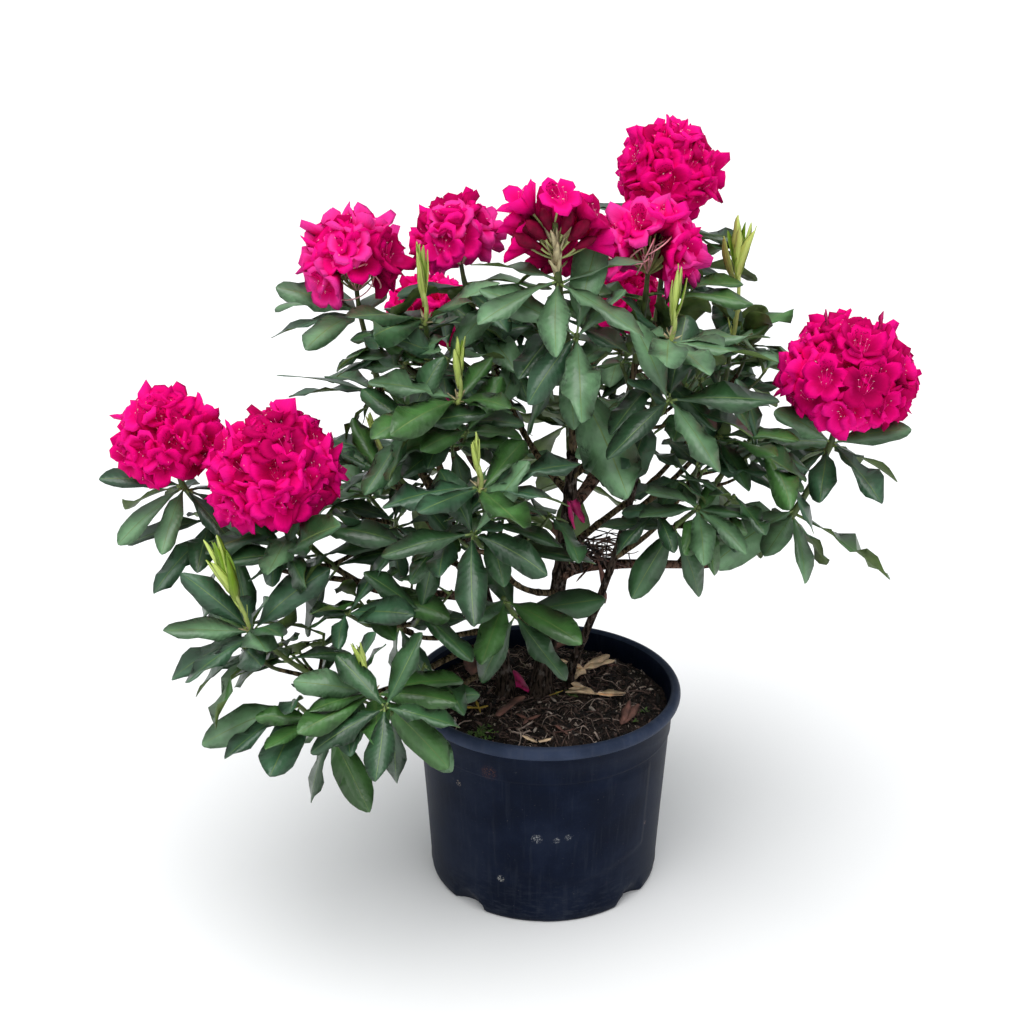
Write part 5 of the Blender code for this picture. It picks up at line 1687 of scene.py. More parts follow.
class RHODODENDRON_OT_litter(bpy.types.Operator):
    """What lies on the soil: crumbs, root fibres, dry leaves and bud scales, weeds, a petal"""

    bl_idname = "rhododendron.litter"
    bl_label = "Litter"

    def execute(self, context):
        dice = np.random.default_rng(SEED)
        crumbs = Skins()
        count = sizes().crumbs
        x, y = scattered(count, dice)
        size = dice.gamma(2.2, 0.0006, count).clip(*CRUMB_SIZES)
        places = np.stack([x, y, soil_height(x, y) + size * 0.3], axis=-1)
        chosen = dice.choice(3, count, p=[0.5, 0.38, 0.12])
        crumb_skins(crumbs, places, size, chosen, dice)
        names = ["crumb_dark", "crumb_brown", "crumb_grey"]
        make_piece("soil_crumbs", crumbs, names)
        self.fibres(dice)
        self.dry_leaves(dice)
        self.weeds(dice)
        return {"FINISHED"}

    def fibres(self, dice):
        """Thin roots and twiglets: arcs that lie on the soil and lift a little in the middle."""
        fibres = Skins()
        count, rows = FIBRES, FIBRE_ROWS
        x, y = scattered(count, dice, 0.01, 0.118)
        heading = dice.uniform(0, TURN, (count, 1))
        length = dice.gamma(3.0, 0.0070, (count, 1)).clip(*FIBRE_LENGTHS)
        bend = dice.normal(0, FIBRE_BEND, (count, 1))
        t = np.linspace(-0.5, 0.5, rows)
        arc = 1 - (2 * t) ** 2
        turn = heading + bend * t
        px = x[:, None] + length * t * np.cos(turn)
        py = y[:, None] + length * t * np.sin(turn)
        lift = dice.uniform(*FIBRE_LIFTS, (count, 1)) * arc
        lift = lift + dice.normal(0, 0.06, (count, 1)) * length * t
        pz = soil_height(px, py) + 0.0008 + lift
        near = np.hypot(px, py).max(axis=1) < INSIDE_POT
        shape = (TANGLE_FIBRES, 1, 3)
        caught = np.array(TANGLE) + dice.normal(0, 1, shape) * TANGLE_SPREAD
        curve = dice.normal(0, 0.004, shape) * arc[:, None]
        ways = unit(dice.normal(0, 1, shape) * (1.0, 0.6, 0.45))
        caught = caught + ways * TANGLE_LENGTH * t[:, None] + curve
        lines = np.concatenate([np.stack([px, py, pz], axis=-1)[near], caught])
        radii = dice.gamma(2.0, 0.00022, (len(lines), 1)).clip(*FIBRE_RADII) * np.ones(rows)
        radii[-TANGLE_FIBRES:] += TANGLE_THICKER
        slots = dice.choice(3, len(lines), p=[0.22, 0.53, 0.25])
        slots[-TANGLE_FIBRES:] = np.maximum(slots[-TANGLE_FIBRES:], 1)
        tube_skins(fibres, lines, radii, 4, slots[:, None, None])
        names = ["root_fibre", "crumb_brown", "crumb_dark"]
        make_piece("soil_fibres", fibres, names)

    def dry_leaves(self, dice):
        """Dropped bud scales, leaves and petals on the soil, and some caught in the boughs."""
        rows = []
        for (x, y), headings, length, slot in LITTER:
            for heading in headings:
                turn = math.radians(heading + dice.uniform(-8, 8))
                reach = length * dice.uniform(0.75, 1.15)
                foot = soil_height(x, y) + 0.0055
                top = foot + dice.uniform(0.0, 0.25) * reach
                tip = (x + reach * math.cos(turn), y + reach * math.sin(turn), top)
                rows.append(((x, y, foot), tip, slot))
        roots, tips, slots = (np.array(column) for column in zip(*rows, *CAUGHT))
        ways = tips - roots
        axes = np.array(
            [frame_of(Vector(way), UP + Vector(dice.normal(0, 0.30, 3))) for way in ways]
        )
        lengths = np.linalg.norm(ways, axis=1)
        blade = BRACT_BLADE._replace(width=0.28, fold=0.5, wave=0.14, tip=0.55)
        litter = Skins()
        leaf_skins(litter, roots, axes, lengths, blade, -0.06, slots[:, None], dice)
        names = ["dry_tan", "dry_brown", "dry_yellow", "petal_fallen"]
        make_piece("dry_leaves", litter, names)

    def weeds(self, dice):
        """Small seedlings: leaf clusters a few millimetres long."""
        weeds = Skins()
        places, turns, lengths = [], [], []
        for middle, count in WEED_PATCHES:
            for _ in range(count):
                x, y = np.array(middle) + dice.normal(0, 0.0075, 2)
                start = dice.uniform(0, TURN)
                for i in range(4):
                    places.append((x, y, soil_height(x, y) + 0.002))
                    turns.append(start + i * TURN / 4)
                    lengths.append(dice.uniform(0.003, 0.0065))
        axes = np.array([frame_of(Vector((math.cos(a), math.sin(a), 0.7)), UP) for a in turns])
        places, lengths = np.array(places), np.array(lengths)
        blade = BRACT_BLADE._replace(width=0.55, fold=0.1, thickness=0.0002, stalk=0.0003)
        leaf_skins(weeds, places, axes, lengths, blade, 0.2, 0, dice)
        make_piece("seedlings", weeds, ["weed"])


# Pieces: limbs and twigs

# Rows and corners of a stem and of a bough; the bough's swelling at its foot and its reach
STEM_GRID, BOUGH_GRID = (110, 26), (56, 13)
BOUGH_SWELL, BOUGH_SWELL_REACH = 0.55, 0.010
THICK_BOUGH = 0.0045
BARK_FOLDS = (1, 2, 3, 5, 8)
FURROW_DEPTH, KNUCKLE_HEIGHT = 0.55, 1.1
KNUCKLE_STEP, KNUCKLE_WIDTH = 0.052, 0.09
TWIG_ROWS, TWIG_CORNERS = 24, 8
SCAR_WIDTH, SCAR_SWELL, END_SCAR = 0.030, 0.30, 0.96
TWIG_SCALE = {"centre": 1.35, "right": 1.25, "far_left": 1.1, "front": 1.2, "upper_left_bud": 1.1}


class RHODODENDRON_OT_limbs(bpy.types.Operator):
    """Stems and boughs with the bark's furrows, each growing out of its parent"""

    bl_idname = "rhododendron.limbs"
    bl_label = "Stems and boughs"

    def execute(self, context):
        limbs = grown_plant().limbs
        skins = Skins()
        for i, limb in enumerate(limbs.values()):
            stem = limb.parent is None
            rows, corners = STEM_GRID if stem else BOUGH_GRID
            line = resampled(limb.fine, rows)
            share = np.linspace(0, 1, rows)
            run = share * np.linalg.norm(np.diff(line, axis=0), axis=1).sum()
            if stem:
                radii = np.interp(line[:, 2], [point.z for point in limb.points], limb.radii)
                line[0, 2] -= 0.003
            else:
                radii = np.interp(share, np.linspace(0, 1, len(limb.radii)), limb.radii)
                radii = radii * (1 + BOUGH_SWELL * np.exp(-run / BOUGH_SWELL_REACH))
            relief = self.bark(run, evenly(corners), i, sizes().bark_relief)
            finish_slot = 0 if stem else 1 if limb.radii[0] > THICK_BOUGH else 2
            tube_skins(skins, line[None], radii[None], corners, finish_slot, relief[None])
        names = ["old_bark", "bough_bark", "twig_brown"]
        make_piece("stems_and_boughs", skins, names, list(limbs))
        return {"FINISHED"}

    def bark(self, run, angle, seed, depth):
        """Furrows along the limb that wander, with knuckles where old leaves dropped."""
        dice = np.random.default_rng(100 + seed)
        total = np.zeros((len(run), len(angle)))
        for fold in BARK_FOLDS:
            drift = dice.uniform(-12, 12)
            phase = dice.uniform(0, TURN)
            swell = 0.6 + 0.4 * np.sin(run * dice.uniform(30, 90) + phase)
            furrow = np.sin(fold * angle + (run * drift)[:, None] + phase)
            total += (swell[:, None] * furrow) / fold**0.5
        knuckle = (run / KNUCKLE_STEP + dice.uniform(0, 1)) % 1.0 - 0.5
        rings = np.exp(-((knuckle / KNUCKLE_WIDTH) ** 2))
        return 1 + depth * (FURROW_DEPTH * total + KNUCKLE_HEIGHT * rings[:, None])


class RHODODENDRON_OT_twigs(bpy.types.Operator):
    """Shoots of the last years, green to the tip, with rings of scars under each whorl"""

    bl_idname = "rhododendron.twigs"
    bl_label = "Twigs"

    def execute(self, context):
        skins = Skins()
        for mass in grown_plant().masses.values():
            for twig in mass.twigs:
                self.add_twig(skins, mass.name, mass.plan, twig)
        make_piece("twigs", skins, ["twig_brown", "twig_green"])
        return {"FINISHED"}

    def add_twig(self, skins, name, plan, twig):
        """A twig that swells at its scars: under its end and, on a mass's shoot, a year below."""
        line = resampled(smooth_line(twig.points), TWIG_ROWS)
        share = np.linspace(0, 1, TWIG_ROWS)
        scars = [END_SCAR]
        if twig.kind == "shoot":
            line[0] -= 1.5 * (line[1] - line[0])
            scars = [plan.skirt_share, 0.97]
            if plan.truss_radius:
                whole = sum(steps_of(twig.points))
                shoot = whole - (plan.heart - plan.line[-1]).length
                scars = [plan.skirt_share * shoot / whole, shoot / whole - 0.01]
        swell = sum(np.exp(-(((share - scar) / SCAR_WIDTH) ** 2)) for scar in scars)
        radius = twig.radius * TWIG_SCALE.get(name, 1.0)
        radii = radius * (1.12 - 0.42 * share) * (1 + SCAR_SWELL * swell)
        ripple = 1 + 0.05 * np.sin(TURN * share * 9)[:, None] * np.ones(TWIG_CORNERS)
        slots = np.where(share[1:] < 0.40 * scars[0] + 0.1, 0, 1)[None, :, None]
        tube_skins(skins, line[None], radii[None], TWIG_CORNERS, slots, ripple[None])


def smooth_line(points):
    """A finer line through the points, rounded by mixing each with its neighbours four times."""
    line = resampled(points, 33)
    for _ in range(4):
        line[1:-1] = 0.5 * line[1:-1] + 0.25 * (line[:-2] + line[2:])
    return line


# Pieces: leaves

# The tones of LEAF_TONES by what share of the sprays has each: on pale leaves, high up, on the
# masses whose leaves are lightened most, in crown whorls and elsewhere. The last tone is a painted
# sheen, so pale leaves have only painted sheen, and leaves high up and on those masses have more of
# it
TONE_SHARES = {
    "pale": [0, 0, 0, 0, 1],
    "high": [0.11, 0.17, 0.24, 0.13, 0.35],
    "open": [0.03, 0.15, 0.30, 0.18, 0.34],
    "crown": [0.12, 0.25, 0.27, 0.21, 0.15],
    "skirt": [0.30, 0.34, 0.20, 0.12, 0.04],
}
# Leaves above this height, and on the masses listed next, are dealt more of the painted sheen tone
SHEEN_PAINTED_HEIGHT = 0.58
SHEEN_PAINTED_MASSES = ("right", "right_mid", "low_right", "tall_bud")
OTHER_TONE = 0.35
DROOP_RANGE, OLD_DROOP = (0.55, 1.45), 1.15
PARTS = ("left", "middle", "right", "back")


def leaf_slots(masses, dice):
    """Finishes of every leaf: one tone for each spray, and now and then a leaf of another."""
    rows = []
    count = len(LEAF_TONES)
    for mass in masses:
        spray_tones = {}
        for leaf in mass.leaves:
            weights = TONE_SHARES.get(leaf.kind, TONE_SHARES["skirt"])
            # Pale leaves keep only the painted sheen tone; other leaves high up or on the listed
            # masses get more of it
            if leaf.kind != "pale" and mass.name in SHEEN_PAINTED_MASSES:
                weights = TONE_SHARES["open"]
            elif leaf.kind != "pale" and leaf.root.z > SHEEN_PAINTED_HEIGHT:
                weights = TONE_SHARES["high"]
            if leaf.spray not in spray_tones:
                spray_tones[leaf.spray] = dice.choice(count, p=weights)
            tone = spray_tones[leaf.spray]
            if dice.uniform() < OTHER_TONE:
                tone = dice.choice(count, p=weights)
            rows.append((tone, count, count + 1, count + 2))
    return np.array(rows)


class RHODODENDRON_OT_leaves(bpy.types.Operator):
    """Grown leaves in whorls, in a piece for each part of the crown"""

    bl_idname = "rhododendron.leaves"
    bl_label = "Leaves"

    def execute(self, context):
        masses = grown_plant().masses
        blade = GROWN_BLADE._replace(width=sizes().leaf_width, wave=sizes().leaf_wave)
        finishes = [*LEAF_TONES, "leaf_rib", "petiole", "leaf_under"]
        for part in PARTS:
            dice = np.random.default_rng([SEED, len(part)])
            chosen = [mass for name, mass in masses.items() if part_of_crown(name) == part]
            leaves = [leaf for mass in chosen for leaf in mass.leaves]
            roots = np.array([tuple(leaf.root) for leaf in leaves])
            axes = np.array([leaf.axes for leaf in leaves])
            lengths = np.array([leaf.length for leaf in leaves])
            older = np.array([1.0 if leaf.kind == "crown" else OLD_DROOP for leaf in leaves])
            droop = LEAF_DROOP * older * dice.uniform(*DROOP_RANGE, len(leaves))
            skins, slots = Skins(), leaf_slots(chosen, dice)
            leaf_skins(skins, roots, axes, lengths, blade, droop, slots, dice)
            nodes = ["foliage_" + mass.name for mass in chosen]
            make_piece("leaves_" + part, skins, finishes, nodes)
        return {"FINISHED"}


# Pieces: flowers

UP_ROW = np.array([0.0, 0.0, 1.0])
BUD_LENGTH, BUD_RANGE = 0.033, (0.85, 1.15)
# The dome: its share of the solid truss, how far it is sunk and where its stalks start; how it
# is squashed above and below the heart and drawn in at the top; how its flowers stray and hang
TRUSS_SHARE, TRUSS_SINK, TRUSS_FOOT = 0.95, 0.05, 0.55
TRUSS_RISE, TRUSS_DROP, TRUSS_NARROWING = 0.97, 0.74, 0.15
WAY_SPREAD, FACE_SPREAD, LOW_HANG = 0.10, 0.25, 0.25
DOME_WAVE, DOME_SPREAD, LEAST_STALK = 0.05, 0.035, 0.010
NARROWER_TRUSS = {"top_right": 0.36, "left": 0.20, "right": 0.05, "far_left": 0.22}
BUDDING_SIZE, BLOOM_RANGE = 0.88, (0.90, 1.10)
AGED_SHARE = 0.45
# Shares of plain petals, of a lit copy as painted highlight and of a shaded copy as painted shade,
# dealt at random
PETAL_PAINTED_LIGHT_SHARES = (0.45, 0.30, 0.25)
COVER = 4.9
INNER_COVER, INNER_REACH = 2.6, 0.84
VISUAL_REACH = 1.46
STAMENS, STAMEN_ROWS, STAMEN_RADIUS = 7, 5, 0.00028
STAMEN_FOOT, STAMEN_LENGTHS = 0.25, (0.50, 0.84)
STAMEN_SINK, ANTHER_SIZES = 0.25, (0.0006, 0.0010)
SPENT_LENGTH, SPENT_HOOK, STYLE_RADIUS = 0.034, (1.4, 3.6), 0.0008
SPENT_STALK, OPEN_STALK_RADIUS, CUP = 0.0007, 0.0011, 0.006
BRACTS, BRACT_PITCH, BRACT_LENGTH = 16, (0.12, 0.75), (0.024, 0.038)

# Flowers of the opening truss: turn from the viewer's side towards the right and lean from the
# axis in degrees, foot's height along the axis and stalk's length in truss radii, 1 if open
OPENING_TRUSS = [
    (10, 40, 0.28, 0.34, 1),
    (-88, 42, 0.02, 0.50, 1),
    (-104, 56, -0.16, 0.50, 1),
    (-92, 66, -0.34, 0.42, 1),
    (86, 48, -0.10, 0.46, 1),
    (108, 70, -0.34, 0.50, 1),
    (140, 32, -0.06, 0.38, 1),
    (-140, 32, -0.14, 0.38, 1),
    (180, 30, -0.30, 0.40, 1),
    (178, 64, -0.25, 0.40, 1),
    (-150, 60, -0.30, 0.42, 1),
    (150, 60, -0.30, 0.42, 1),
    (160, 88, -0.50, 0.45, 1),
    (-165, 88, -0.50, 0.45, 1),
    (-46, 26, -0.12, 0.20, 0),
    (-60, 46, -0.18, 0.20, 0),
    (-72, 62, -0.28, 0.22, 0),
    (-84, 48, -0.26, 0.28, 0),
    (44, 30, -0.14, 0.20, 0),
    (60, 44, -0.24, 0.24, 0),
    (76, 58, -0.34, 0.28, 0),
    (84, 46, -0.22, 0.30, 0),
]


def truss_directions(count):
    """By the golden angle from the top down past the widest place, in the truss's own axes."""
    i = np.arange(count)
    polar = np.arccos(1 - VISUAL_REACH * (i + FIRST_FLORET) / count)
    return polar_ways(polar, i * GOLDEN_ANGLE)


def array_frames(directions, towards):
    """Axes for many directions at once: X along each, Z as near as can be to the other vector."""
    forward = unit(directions)
    across = unit(np.cross(towards, forward))
    return np.stack([forward, across, np.cross(forward, across)], axis=-1)


class RHODODENDRON_OT_flowers(bpy.types.Operator):
    """Domed trusses: open flowers with stamens, closed buds, stalks, bracts and spent styles"""

    bl_idname = "rhododendron.flowers"
    bl_label = "Flowers"

    def execute(self, context):
        stalks, stamens = Skins(), Skins()
        blossom = {part: Skins() for part in PARTS}
        for number, mass in enumerate(grown_plant().masses.values()):
            for truss in mass.trusses:
                dice = np.random.default_rng([SEED, number])
                self.add_truss(truss, blossom[part_of_crown(mass.name)], stalks, stamens, dice)
        # The third and fourth finishes are the lit and shaded petal copies: painted highlight and
        # painted shade
        names = ["petal_spotted", "petal", "petal_bright", "petal_deep", "flower_bud", "petal_aged"]
        for part, skins in blossom.items():
            make_piece("blossom_" + part, skins, names)
        make_piece("flower_stalks", stalks, ["stalk_green", "stalk_pink", "bract"])
        make_piece("stamens", stamens, ["stamen", "anther"])
        return {"FINISHED"}

    def add_truss(self, truss, blossom, stalks, stamens, dice):
        size, usual = sizes().floret_size, 1.0
        heart, axis = np.array(truss.heart), np.array(truss.axis)
        own = np.array(frame_about(truss.axis))
        if truss.kind == "budding":
            feet, bases, ways, opened = self.opening_truss(truss, heart, axis)
            self.add_bracts(stalks, heart - 0.85 * axis * truss.radius, own, dice)
            spent = np.zeros(len(ways), bool)
            usual = BUDDING_SIZE
        else:
            feet, bases, ways, spent = self.full_truss(truss, heart, axis, own, size, dice)
            opened = ~spent
        count = len(ways)
        axes = array_frames(ways, axis + dice.normal(0, FACE_SPREAD, (count, 3)))
        scale = size * dice.uniform(*BLOOM_RANGE, count) * usual
        aged = AGED_SHARE if truss.mass in SPENT_SIDES else 0.0
        # Each flower is plain, a lit copy as painted highlight, a shaded copy as painted shade, or
        # aged
        shares = [*(share * (1 - aged) for share in PETAL_PAINTED_LIGHT_SHARES), 0, aged]
        tone = dice.choice([1, 2, 3, 4, 5], count, p=shares)
        slots = np.stack([tone, np.zeros(count, int)], axis=1)
        flowers = bases[opened], axes[opened], scale[opened]
        floret_skins(blossom, *flowers, slots[opened], dice)
        self.add_stamens(stamens, *flowers, dice)
        shut = ~opened & ~spent
        if shut.any():
            lengths = BUD_LENGTH * dice.uniform(*BUD_RANGE, shut.sum())
            bud_skins(blossom, bases[shut], axes[shut], lengths, 4)
        if spent.any():
            self.add_spent(stalks, bases[spent], axes[spent], dice)
        self.add_stalks(stalks, feet, bases, axes, spent)

    def full_truss(self, truss, heart, axis, own, size, dice):
        """Feet, bases and ways of the flowers in two layers of the dome, and which are spent.

        Each base is out along its way by the dome's reach less the flower's depth. The dome is
        squashed below the heart and drawn in towards its top.
        """
        outer = int(round(COVER * (truss.radius / size) ** 2))
        inner = int(round(INNER_COVER * (truss.radius / size) ** 2))
        count = outer + inner
        ways = np.concatenate([truss_directions(outer), truss_directions(inner)])
        ways = unit(ways @ own.T + dice.normal(0, WAY_SPREAD, (count, 3)))
        low = np.clip(-(ways @ axis), 0, 1)[:, None]
        ways = unit(ways - LOW_HANG * low * UP_ROW)
        uneven = 1 + DOME_WAVE * wavy(ways, sum(truss.mass.encode()), 5, 0.2, 0.6)
        uneven = uneven + dice.normal(0, DOME_SPREAD, count)
        reach = TRUSS_SHARE * truss.radius * np.resize(truss.reaches, count) * uneven
        reach[outer:] *= INNER_REACH
        rise = (ways @ axis)[:, None]
        squash = np.where(rise > 0, TRUSS_RISE, TRUSS_DROP) - 1
        bases = heart + ways * np.maximum(reach - FLORET_DEPTH * size, LEAST_STALK)[:, None]
        narrowing = NARROWER_TRUSS.get(truss.mass, TRUSS_NARROWING)
        narrowing = narrowing * np.clip(rise, 0, 1) ** 1.5
        bases = bases + squash * rise * reach[:, None] * axis
        bases = bases - narrowing * reach[:, None] * (ways - rise * axis)
        bases = bases - TRUSS_SINK * truss.radius * axis
        feet = np.broadcast_to(heart - axis * truss.radius * TRUSS_FOOT, bases.shape)
        side, cone = SPENT_SIDES.get(truss.mass, ((0, 0, 0), 0))
        inside = ways @ unit(np.array(side)) > math.cos(math.radians(cone))
        return feet, bases, ways, inside & (dice.uniform(size=count) < SPENT_SHARE)

    def opening_truss(self, truss, heart, axis):
        """Feet, bases and ways of the listed flowers, and which are open."""
        rows = np.array(OPENING_TRUSS)
        turn, lean = np.radians(rows[:, 0]), np.radians(rows[:, 1])
        side = np.sin(lean)
        ways = np.stack([side * np.sin(turn), -side * np.cos(turn), np.cos(lean)], axis=1)
        feet = heart + axis * (rows[:, 2:3] - 0.25) * truss.radius
        return feet, feet + ways * rows[:, 3:4] * truss.radius, ways, rows[:, 4] > 0

    def add_stamens(self, stamens, bases, axes, scale, dice):
        """Filaments from the throat that sink, then rise to their tips, each with an anther."""
        count = len(scale)
        t = np.linspace(0, 1, STAMEN_ROWS)
        turn = evenly(STAMENS) + dice.uniform(0, 1, (count, 1))
        length = dice.uniform(*STAMEN_LENGTHS, (count, STAMENS))
        x = STAMEN_FOOT + length[..., None] * t
        spread = 0.05 + 0.24 * t**1.5
        y = spread * np.cos(turn)[..., None]
        sink = STAMEN_SINK * np.sin(math.pi * t)
        z = spread * np.sin(turn)[..., None] - sink + 0.10 * t**2
        local = np.stack([x, y, z], axis=-1) * scale[:, None, None, None]
        lines = placed(bases, axes, local).reshape(-1, STAMEN_ROWS, 3)
        tube_skins(stamens, lines, STAMEN_RADIUS, 3)
        tips = lines[:, -1]
        knots = dice.uniform(*ANTHER_SIZES, len(tips))
        crumb_skins(stamens, tips, knots * 0.75, np.ones(len(tips), int), dice)

    def add_spent(self, stalks, bases, axes, dice):
        """Styles that stay after the flower drops: long curls that hook at the end."""
        count = len(bases)
        t = np.linspace(0, 1, 12)
        hook = dice.uniform(*SPENT_HOOK, (count, 1))
        turn = dice.uniform(0, TURN, (count, 1))
        bend = t * np.sin(hook * t)
        length = SPENT_LENGTH * dice.uniform(0.8, 1.4, (count, 1, 1))
        local = [t * np.cos(hook * t), bend * np.cos(turn), bend * np.sin(turn)]
        local = np.stack(local, axis=-1) * length
        lines = bases[:, None] + np.einsum("mij,mkj->mki", axes, local)
        tube_skins(stalks, lines, STYLE_RADIUS, 5, 1)

    def add_stalks(self, stalks, feet, bases, axes, spent):
        """A stalk from the truss's own stem to the foot of each flower, bowed down a little."""
        t = np.linspace(0, 1, 7)[:, None]
        ends = bases + 0.004 * axes[:, :, 0]
        middle = 0.5 * (feet + ends) - 0.004 * UP_ROW
        feet, middle, ends = feet[:, None], middle[:, None], ends[:, None]
        lines = (1 - t) ** 2 * feet + 2 * t * (1 - t) * middle + t**2 * ends
        cup = np.where(spent, 0.0, CUP)[:, None] * np.clip(t[:, 0] - 0.8, 0, 1) ** 1.5
        radii = np.where(spent, SPENT_STALK, OPEN_STALK_RADIUS)[:, None] + cup
        tube_skins(stalks, lines, radii, 6, spent.astype(int)[:, None, None])

    def add_bracts(self, stalks, foot, own, dice):
        """Pale scales that stand up round the stem of the opening truss."""
        turn = np.arange(BRACTS) * GOLDEN_ANGLE
        pitch = dice.uniform(*BRACT_PITCH, BRACTS)
        ways = polar_ways(pitch, turn) @ own.T
        axes = array_frames(ways, own[:, 0] - ways * np.cos(pitch)[:, None])
        roots = foot + own[:, 0] * np.linspace(-0.004, 0.030, BRACTS)[:, None]
        lengths = dice.uniform(*BRACT_LENGTH, BRACTS)
        leaf_skins(stalks, roots, axes, lengths, BRACT_BLADE, -0.15, 2, dice)


# Pieces: young shoots

# How each kind of shoot is built: stalk, leaves, their length, pitches, width and finishes
Tuft = namedtuple("Tuft", "stalk leaves length pitch width slots")
OPENING = [[1, 2, 2, 1], [1, 2, 2, 0]]
TUFTS = {
    "candle": Tuft(0.026, 7, 0.052, (2, 15), 0.150, [[0, 2, 2, 0], [1, 2, 2, 0]]),
    "tall_bud": Tuft(0.085, 11, 0.060, (6, 30), 0.21, OPENING),
    "low_left": Tuft(0.050, 10, 0.064, (3, 22), 0.21, OPENING),
}
CANDLE_SCALE = {
    "upper_left_bud": 1.15, "front_left": 1.05, "front": 0.85, "low_front": 1.0, "mid_left": 0.7
}
LONG_STALK = 0.04


class RHODODENDRON_OT_shoots(bpy.types.Operator):
    """New growth: rolled young leaves on pale stalks, with bud scales at the foot"""

    bl_idname = "rhododendron.shoots"
    bl_label = "Young shoots"

    def execute(self, context):
        leaves, stalks = Skins(), Skins()
        dice = np.random.default_rng(SEED + 5)
        for mass in grown_plant().masses.values():
            for shoot in mass.shoots:
                self.add_shoot(leaves, stalks, shoot, dice)
        names = ["young_leaf", "young_deep", "young_rib", "bract"]
        make_piece("young_leaves", leaves, names)
        make_piece("young_stalks", stalks, ["young_rib"])
        return {"FINISHED"}

    def add_shoot(self, leaves, stalks, shoot, dice):
        tuft = TUFTS.get(shoot.mass, TUFTS["candle"])
        scale = CANDLE_SCALE.get(shoot.mass, 1.0)
        place, axis = np.array(shoot.place), np.array(shoot.axis)
        own = np.array(frame_about(shoot.axis))
        top = place + axis * tuft.stalk * scale
        t = np.linspace(0, 1, 14)[:, None]
        bow = 0.004 * np.sin(math.pi * t) * own[:, 1]
        line = place - axis * 0.006 + (top + axis * 0.012 - place) * t + bow
        radii = 0.0026 - 0.0008 * t[:, 0]
        tube_skins(stalks, line[None], radii[None], 8)
        length = tuft.length * scale
        blade = YOUNG_BLADE._replace(width=tuft.width)
        rows = [
            (top, tuft.leaves, tuft.pitch, length, blade, 0.26 * length, tuft.slots),
            (place, 6, (35, 75), 0.013, BRACT_BLADE, 0.004, [[3, 3, 3, 3]]),
        ]
        if tuft.stalk > LONG_STALK:
            middle = place + axis * tuft.stalk * 0.45
            rows.append((middle, 3, (18, 30), 0.026, BRACT_BLADE, 0.030, [[0, 2, 2, 0]]))
        for row in rows:
            self.add_whorl(leaves, own, dice, *row)

    def add_whorl(self, leaves, own, dice, place, count, pitches, length, blade, spread, slots):
        """Blades by the golden angle about the shoot, the lower ones longer and further out."""
        turn = np.arange(count) * GOLDEN_ANGLE + dice.uniform(0, TURN)
        pitch = np.radians(np.linspace(*pitches, count) + dice.uniform(-2, 2, count))
        ways = polar_ways(pitch, turn) @ own.T
        axes = array_frames(ways, own[:, 0] - ways * np.cos(pitch)[:, None])
        roots = place - own[:, 0] * np.linspace(0, spread, count)[:, None]
        lengths = length * dice.uniform(0.8, 1.05, count)
        chosen = np.array(slots)[dice.integers(len(slots), size=count)]
        leaf_skins(leaves, roots, axes, lengths, blade, -0.10, chosen, dice)


# Stage

CAMERA_PLACE = (-0.02, -1.8, 1.197)
CAMERA_TURN = (math.pi / 2 - 0.392, 0.0, 0.010)
CAMERA_LENS = 61.45
SENSOR = 36.0
SUN_WAY = (0.12, 0.30, -1.0)
SUN_SPREAD = math.radians(65)
SKY_COLOUR = (0.94, 0.97, 1.0, 1.0)


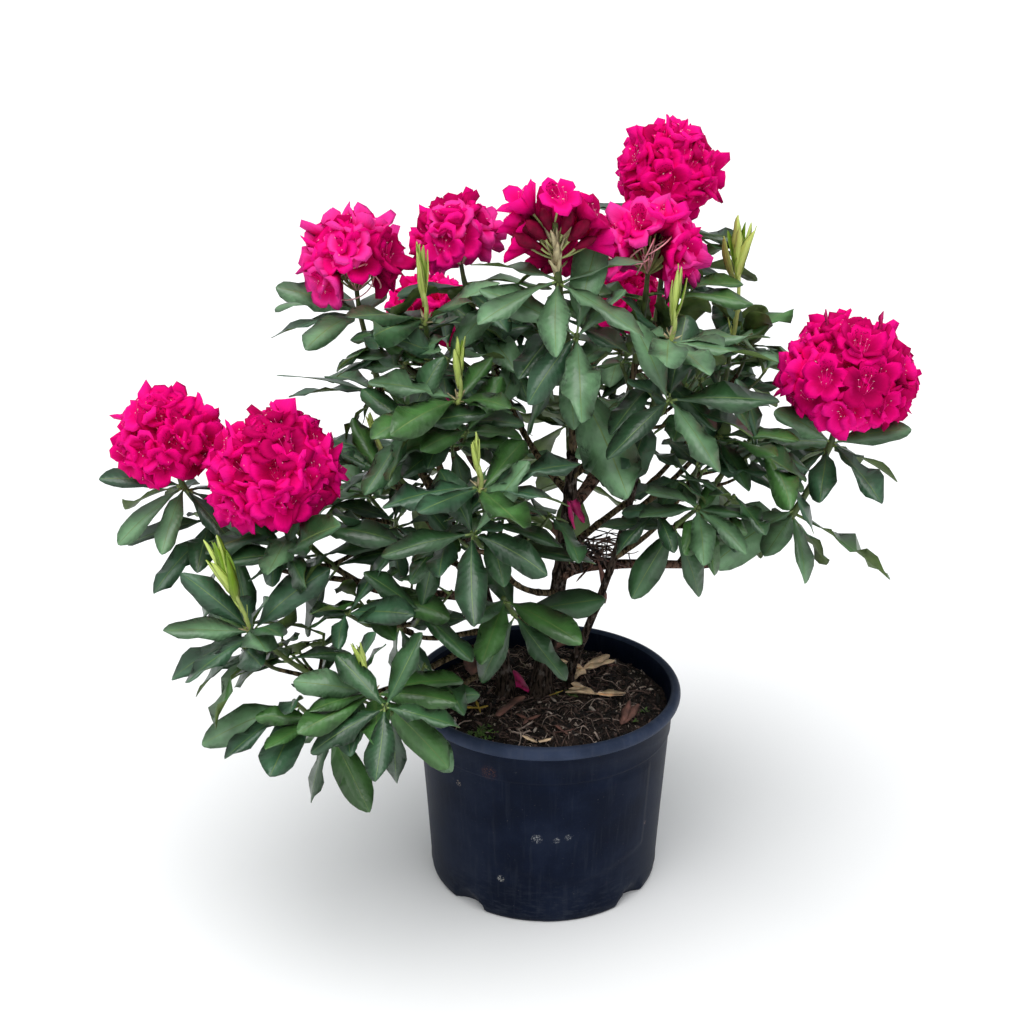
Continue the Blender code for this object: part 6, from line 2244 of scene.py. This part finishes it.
class RHODODENDRON_OT_stage(bpy.types.Operator):
    """Pale floor, soft light and the camera"""

    bl_idname = "rhododendron.stage"
    bl_label = "Floor, light and camera"

    def execute(self, context):
        scene = context.scene
        look = stage_look()
        half = look.floor_size / 2
        mesh = bpy.data.meshes.new("floor")
        corners = [(x * half, y * half, 0) for x, y in ((-1, -1), (1, -1), (1, 1), (-1, 1))]
        mesh.from_pydata(corners, [], [(0, 1, 2, 3)])
        floor = linked("floor", mesh)
        graph = Graph("floor")
        mottle = graph.noise(graph.place(), 1.3, 2.0)
        base = graph.mix(mottle, darker(look.floor_colour, 0.985), tuple(look.floor_colour))
        mesh.materials.append(graph.finish(Base_Color=base, Roughness=0.9))
        world = bpy.data.worlds.new("sky")
        world.use_nodes = True
        sky = world.node_tree.nodes["Background"]
        sky.inputs["Color"].default_value = SKY_COLOUR
        sky.inputs["Strength"].default_value = look.sky_strength
        scene.world = world
        lamp = bpy.data.lights.new("soft_sun", "SUN")
        lamp.energy = look.lamp_power
        lamp.angle = SUN_SPREAD
        sun = linked("soft_sun", lamp)
        sun.rotation_euler = Vector(SUN_WAY).to_track_quat("-Z", "Y").to_euler()
        data = bpy.data.cameras.new("camera")
        data.lens = CAMERA_LENS
        data.sensor_width = SENSOR
        scene.camera = linked("camera", data)
        scene.camera.location = CAMERA_PLACE
        scene.camera.rotation_euler = CAMERA_TURN
        scene.view_settings.view_transform = "Standard"
        return {"FINISHED"}


class RHODODENDRON_PT_panel(bpy.types.Panel):
    """Sizes, colours and steps of the plant"""

    bl_label = "Potted rhododendron"
    bl_idname = "RHODODENDRON_PT_panel"
    bl_space_type = "VIEW_3D"
    bl_region_type = "UI"
    bl_category = "Plant"

    def draw(self, context):
        column = self.layout.column()
        for group in (sizes(), colours(), stage_look()):
            for key in group.__annotations__:
                column.prop(group, key)
        for operator in OPERATORS:
            column.operator(operator.bl_idname)


OPERATORS = [
    RHODODENDRON_OT_pot,
    RHODODENDRON_OT_soil,
    RHODODENDRON_OT_litter,
    RHODODENDRON_OT_limbs,
    RHODODENDRON_OT_twigs,
    RHODODENDRON_OT_leaves,
    RHODODENDRON_OT_flowers,
    RHODODENDRON_OT_shoots,
    RHODODENDRON_OT_stage,
]
CLASSES = [PlantSizes, PlantColours, StageLook, *OPERATORS, RHODODENDRON_PT_panel]


def register():
    for made in CLASSES:
        bpy.utils.register_class(made)
    scene = bpy.types.Scene
    scene.rhododendron_sizes = bpy.props.PointerProperty(type=PlantSizes)
    scene.rhododendron_colours = bpy.props.PointerProperty(type=PlantColours)
    scene.rhododendron_stage = bpy.props.PointerProperty(type=StageLook)


def unregister():
    scene = bpy.types.Scene
    del scene.rhododendron_stage
    del scene.rhododendron_colours
    del scene.rhododendron_sizes
    for made in reversed(CLASSES):
        bpy.utils.unregister_class(made)


def main():
    register()
    bpy.ops.rhododendron.stage()
    bpy.ops.rhododendron.pot()
    bpy.ops.rhododendron.soil()
    bpy.ops.rhododendron.litter()
    bpy.ops.rhododendron.limbs()
    bpy.ops.rhododendron.twigs()
    bpy.ops.rhododendron.leaves()
    bpy.ops.rhododendron.flowers()
    bpy.ops.rhododendron.shoots()


if __name__ == "__main__":
    main()
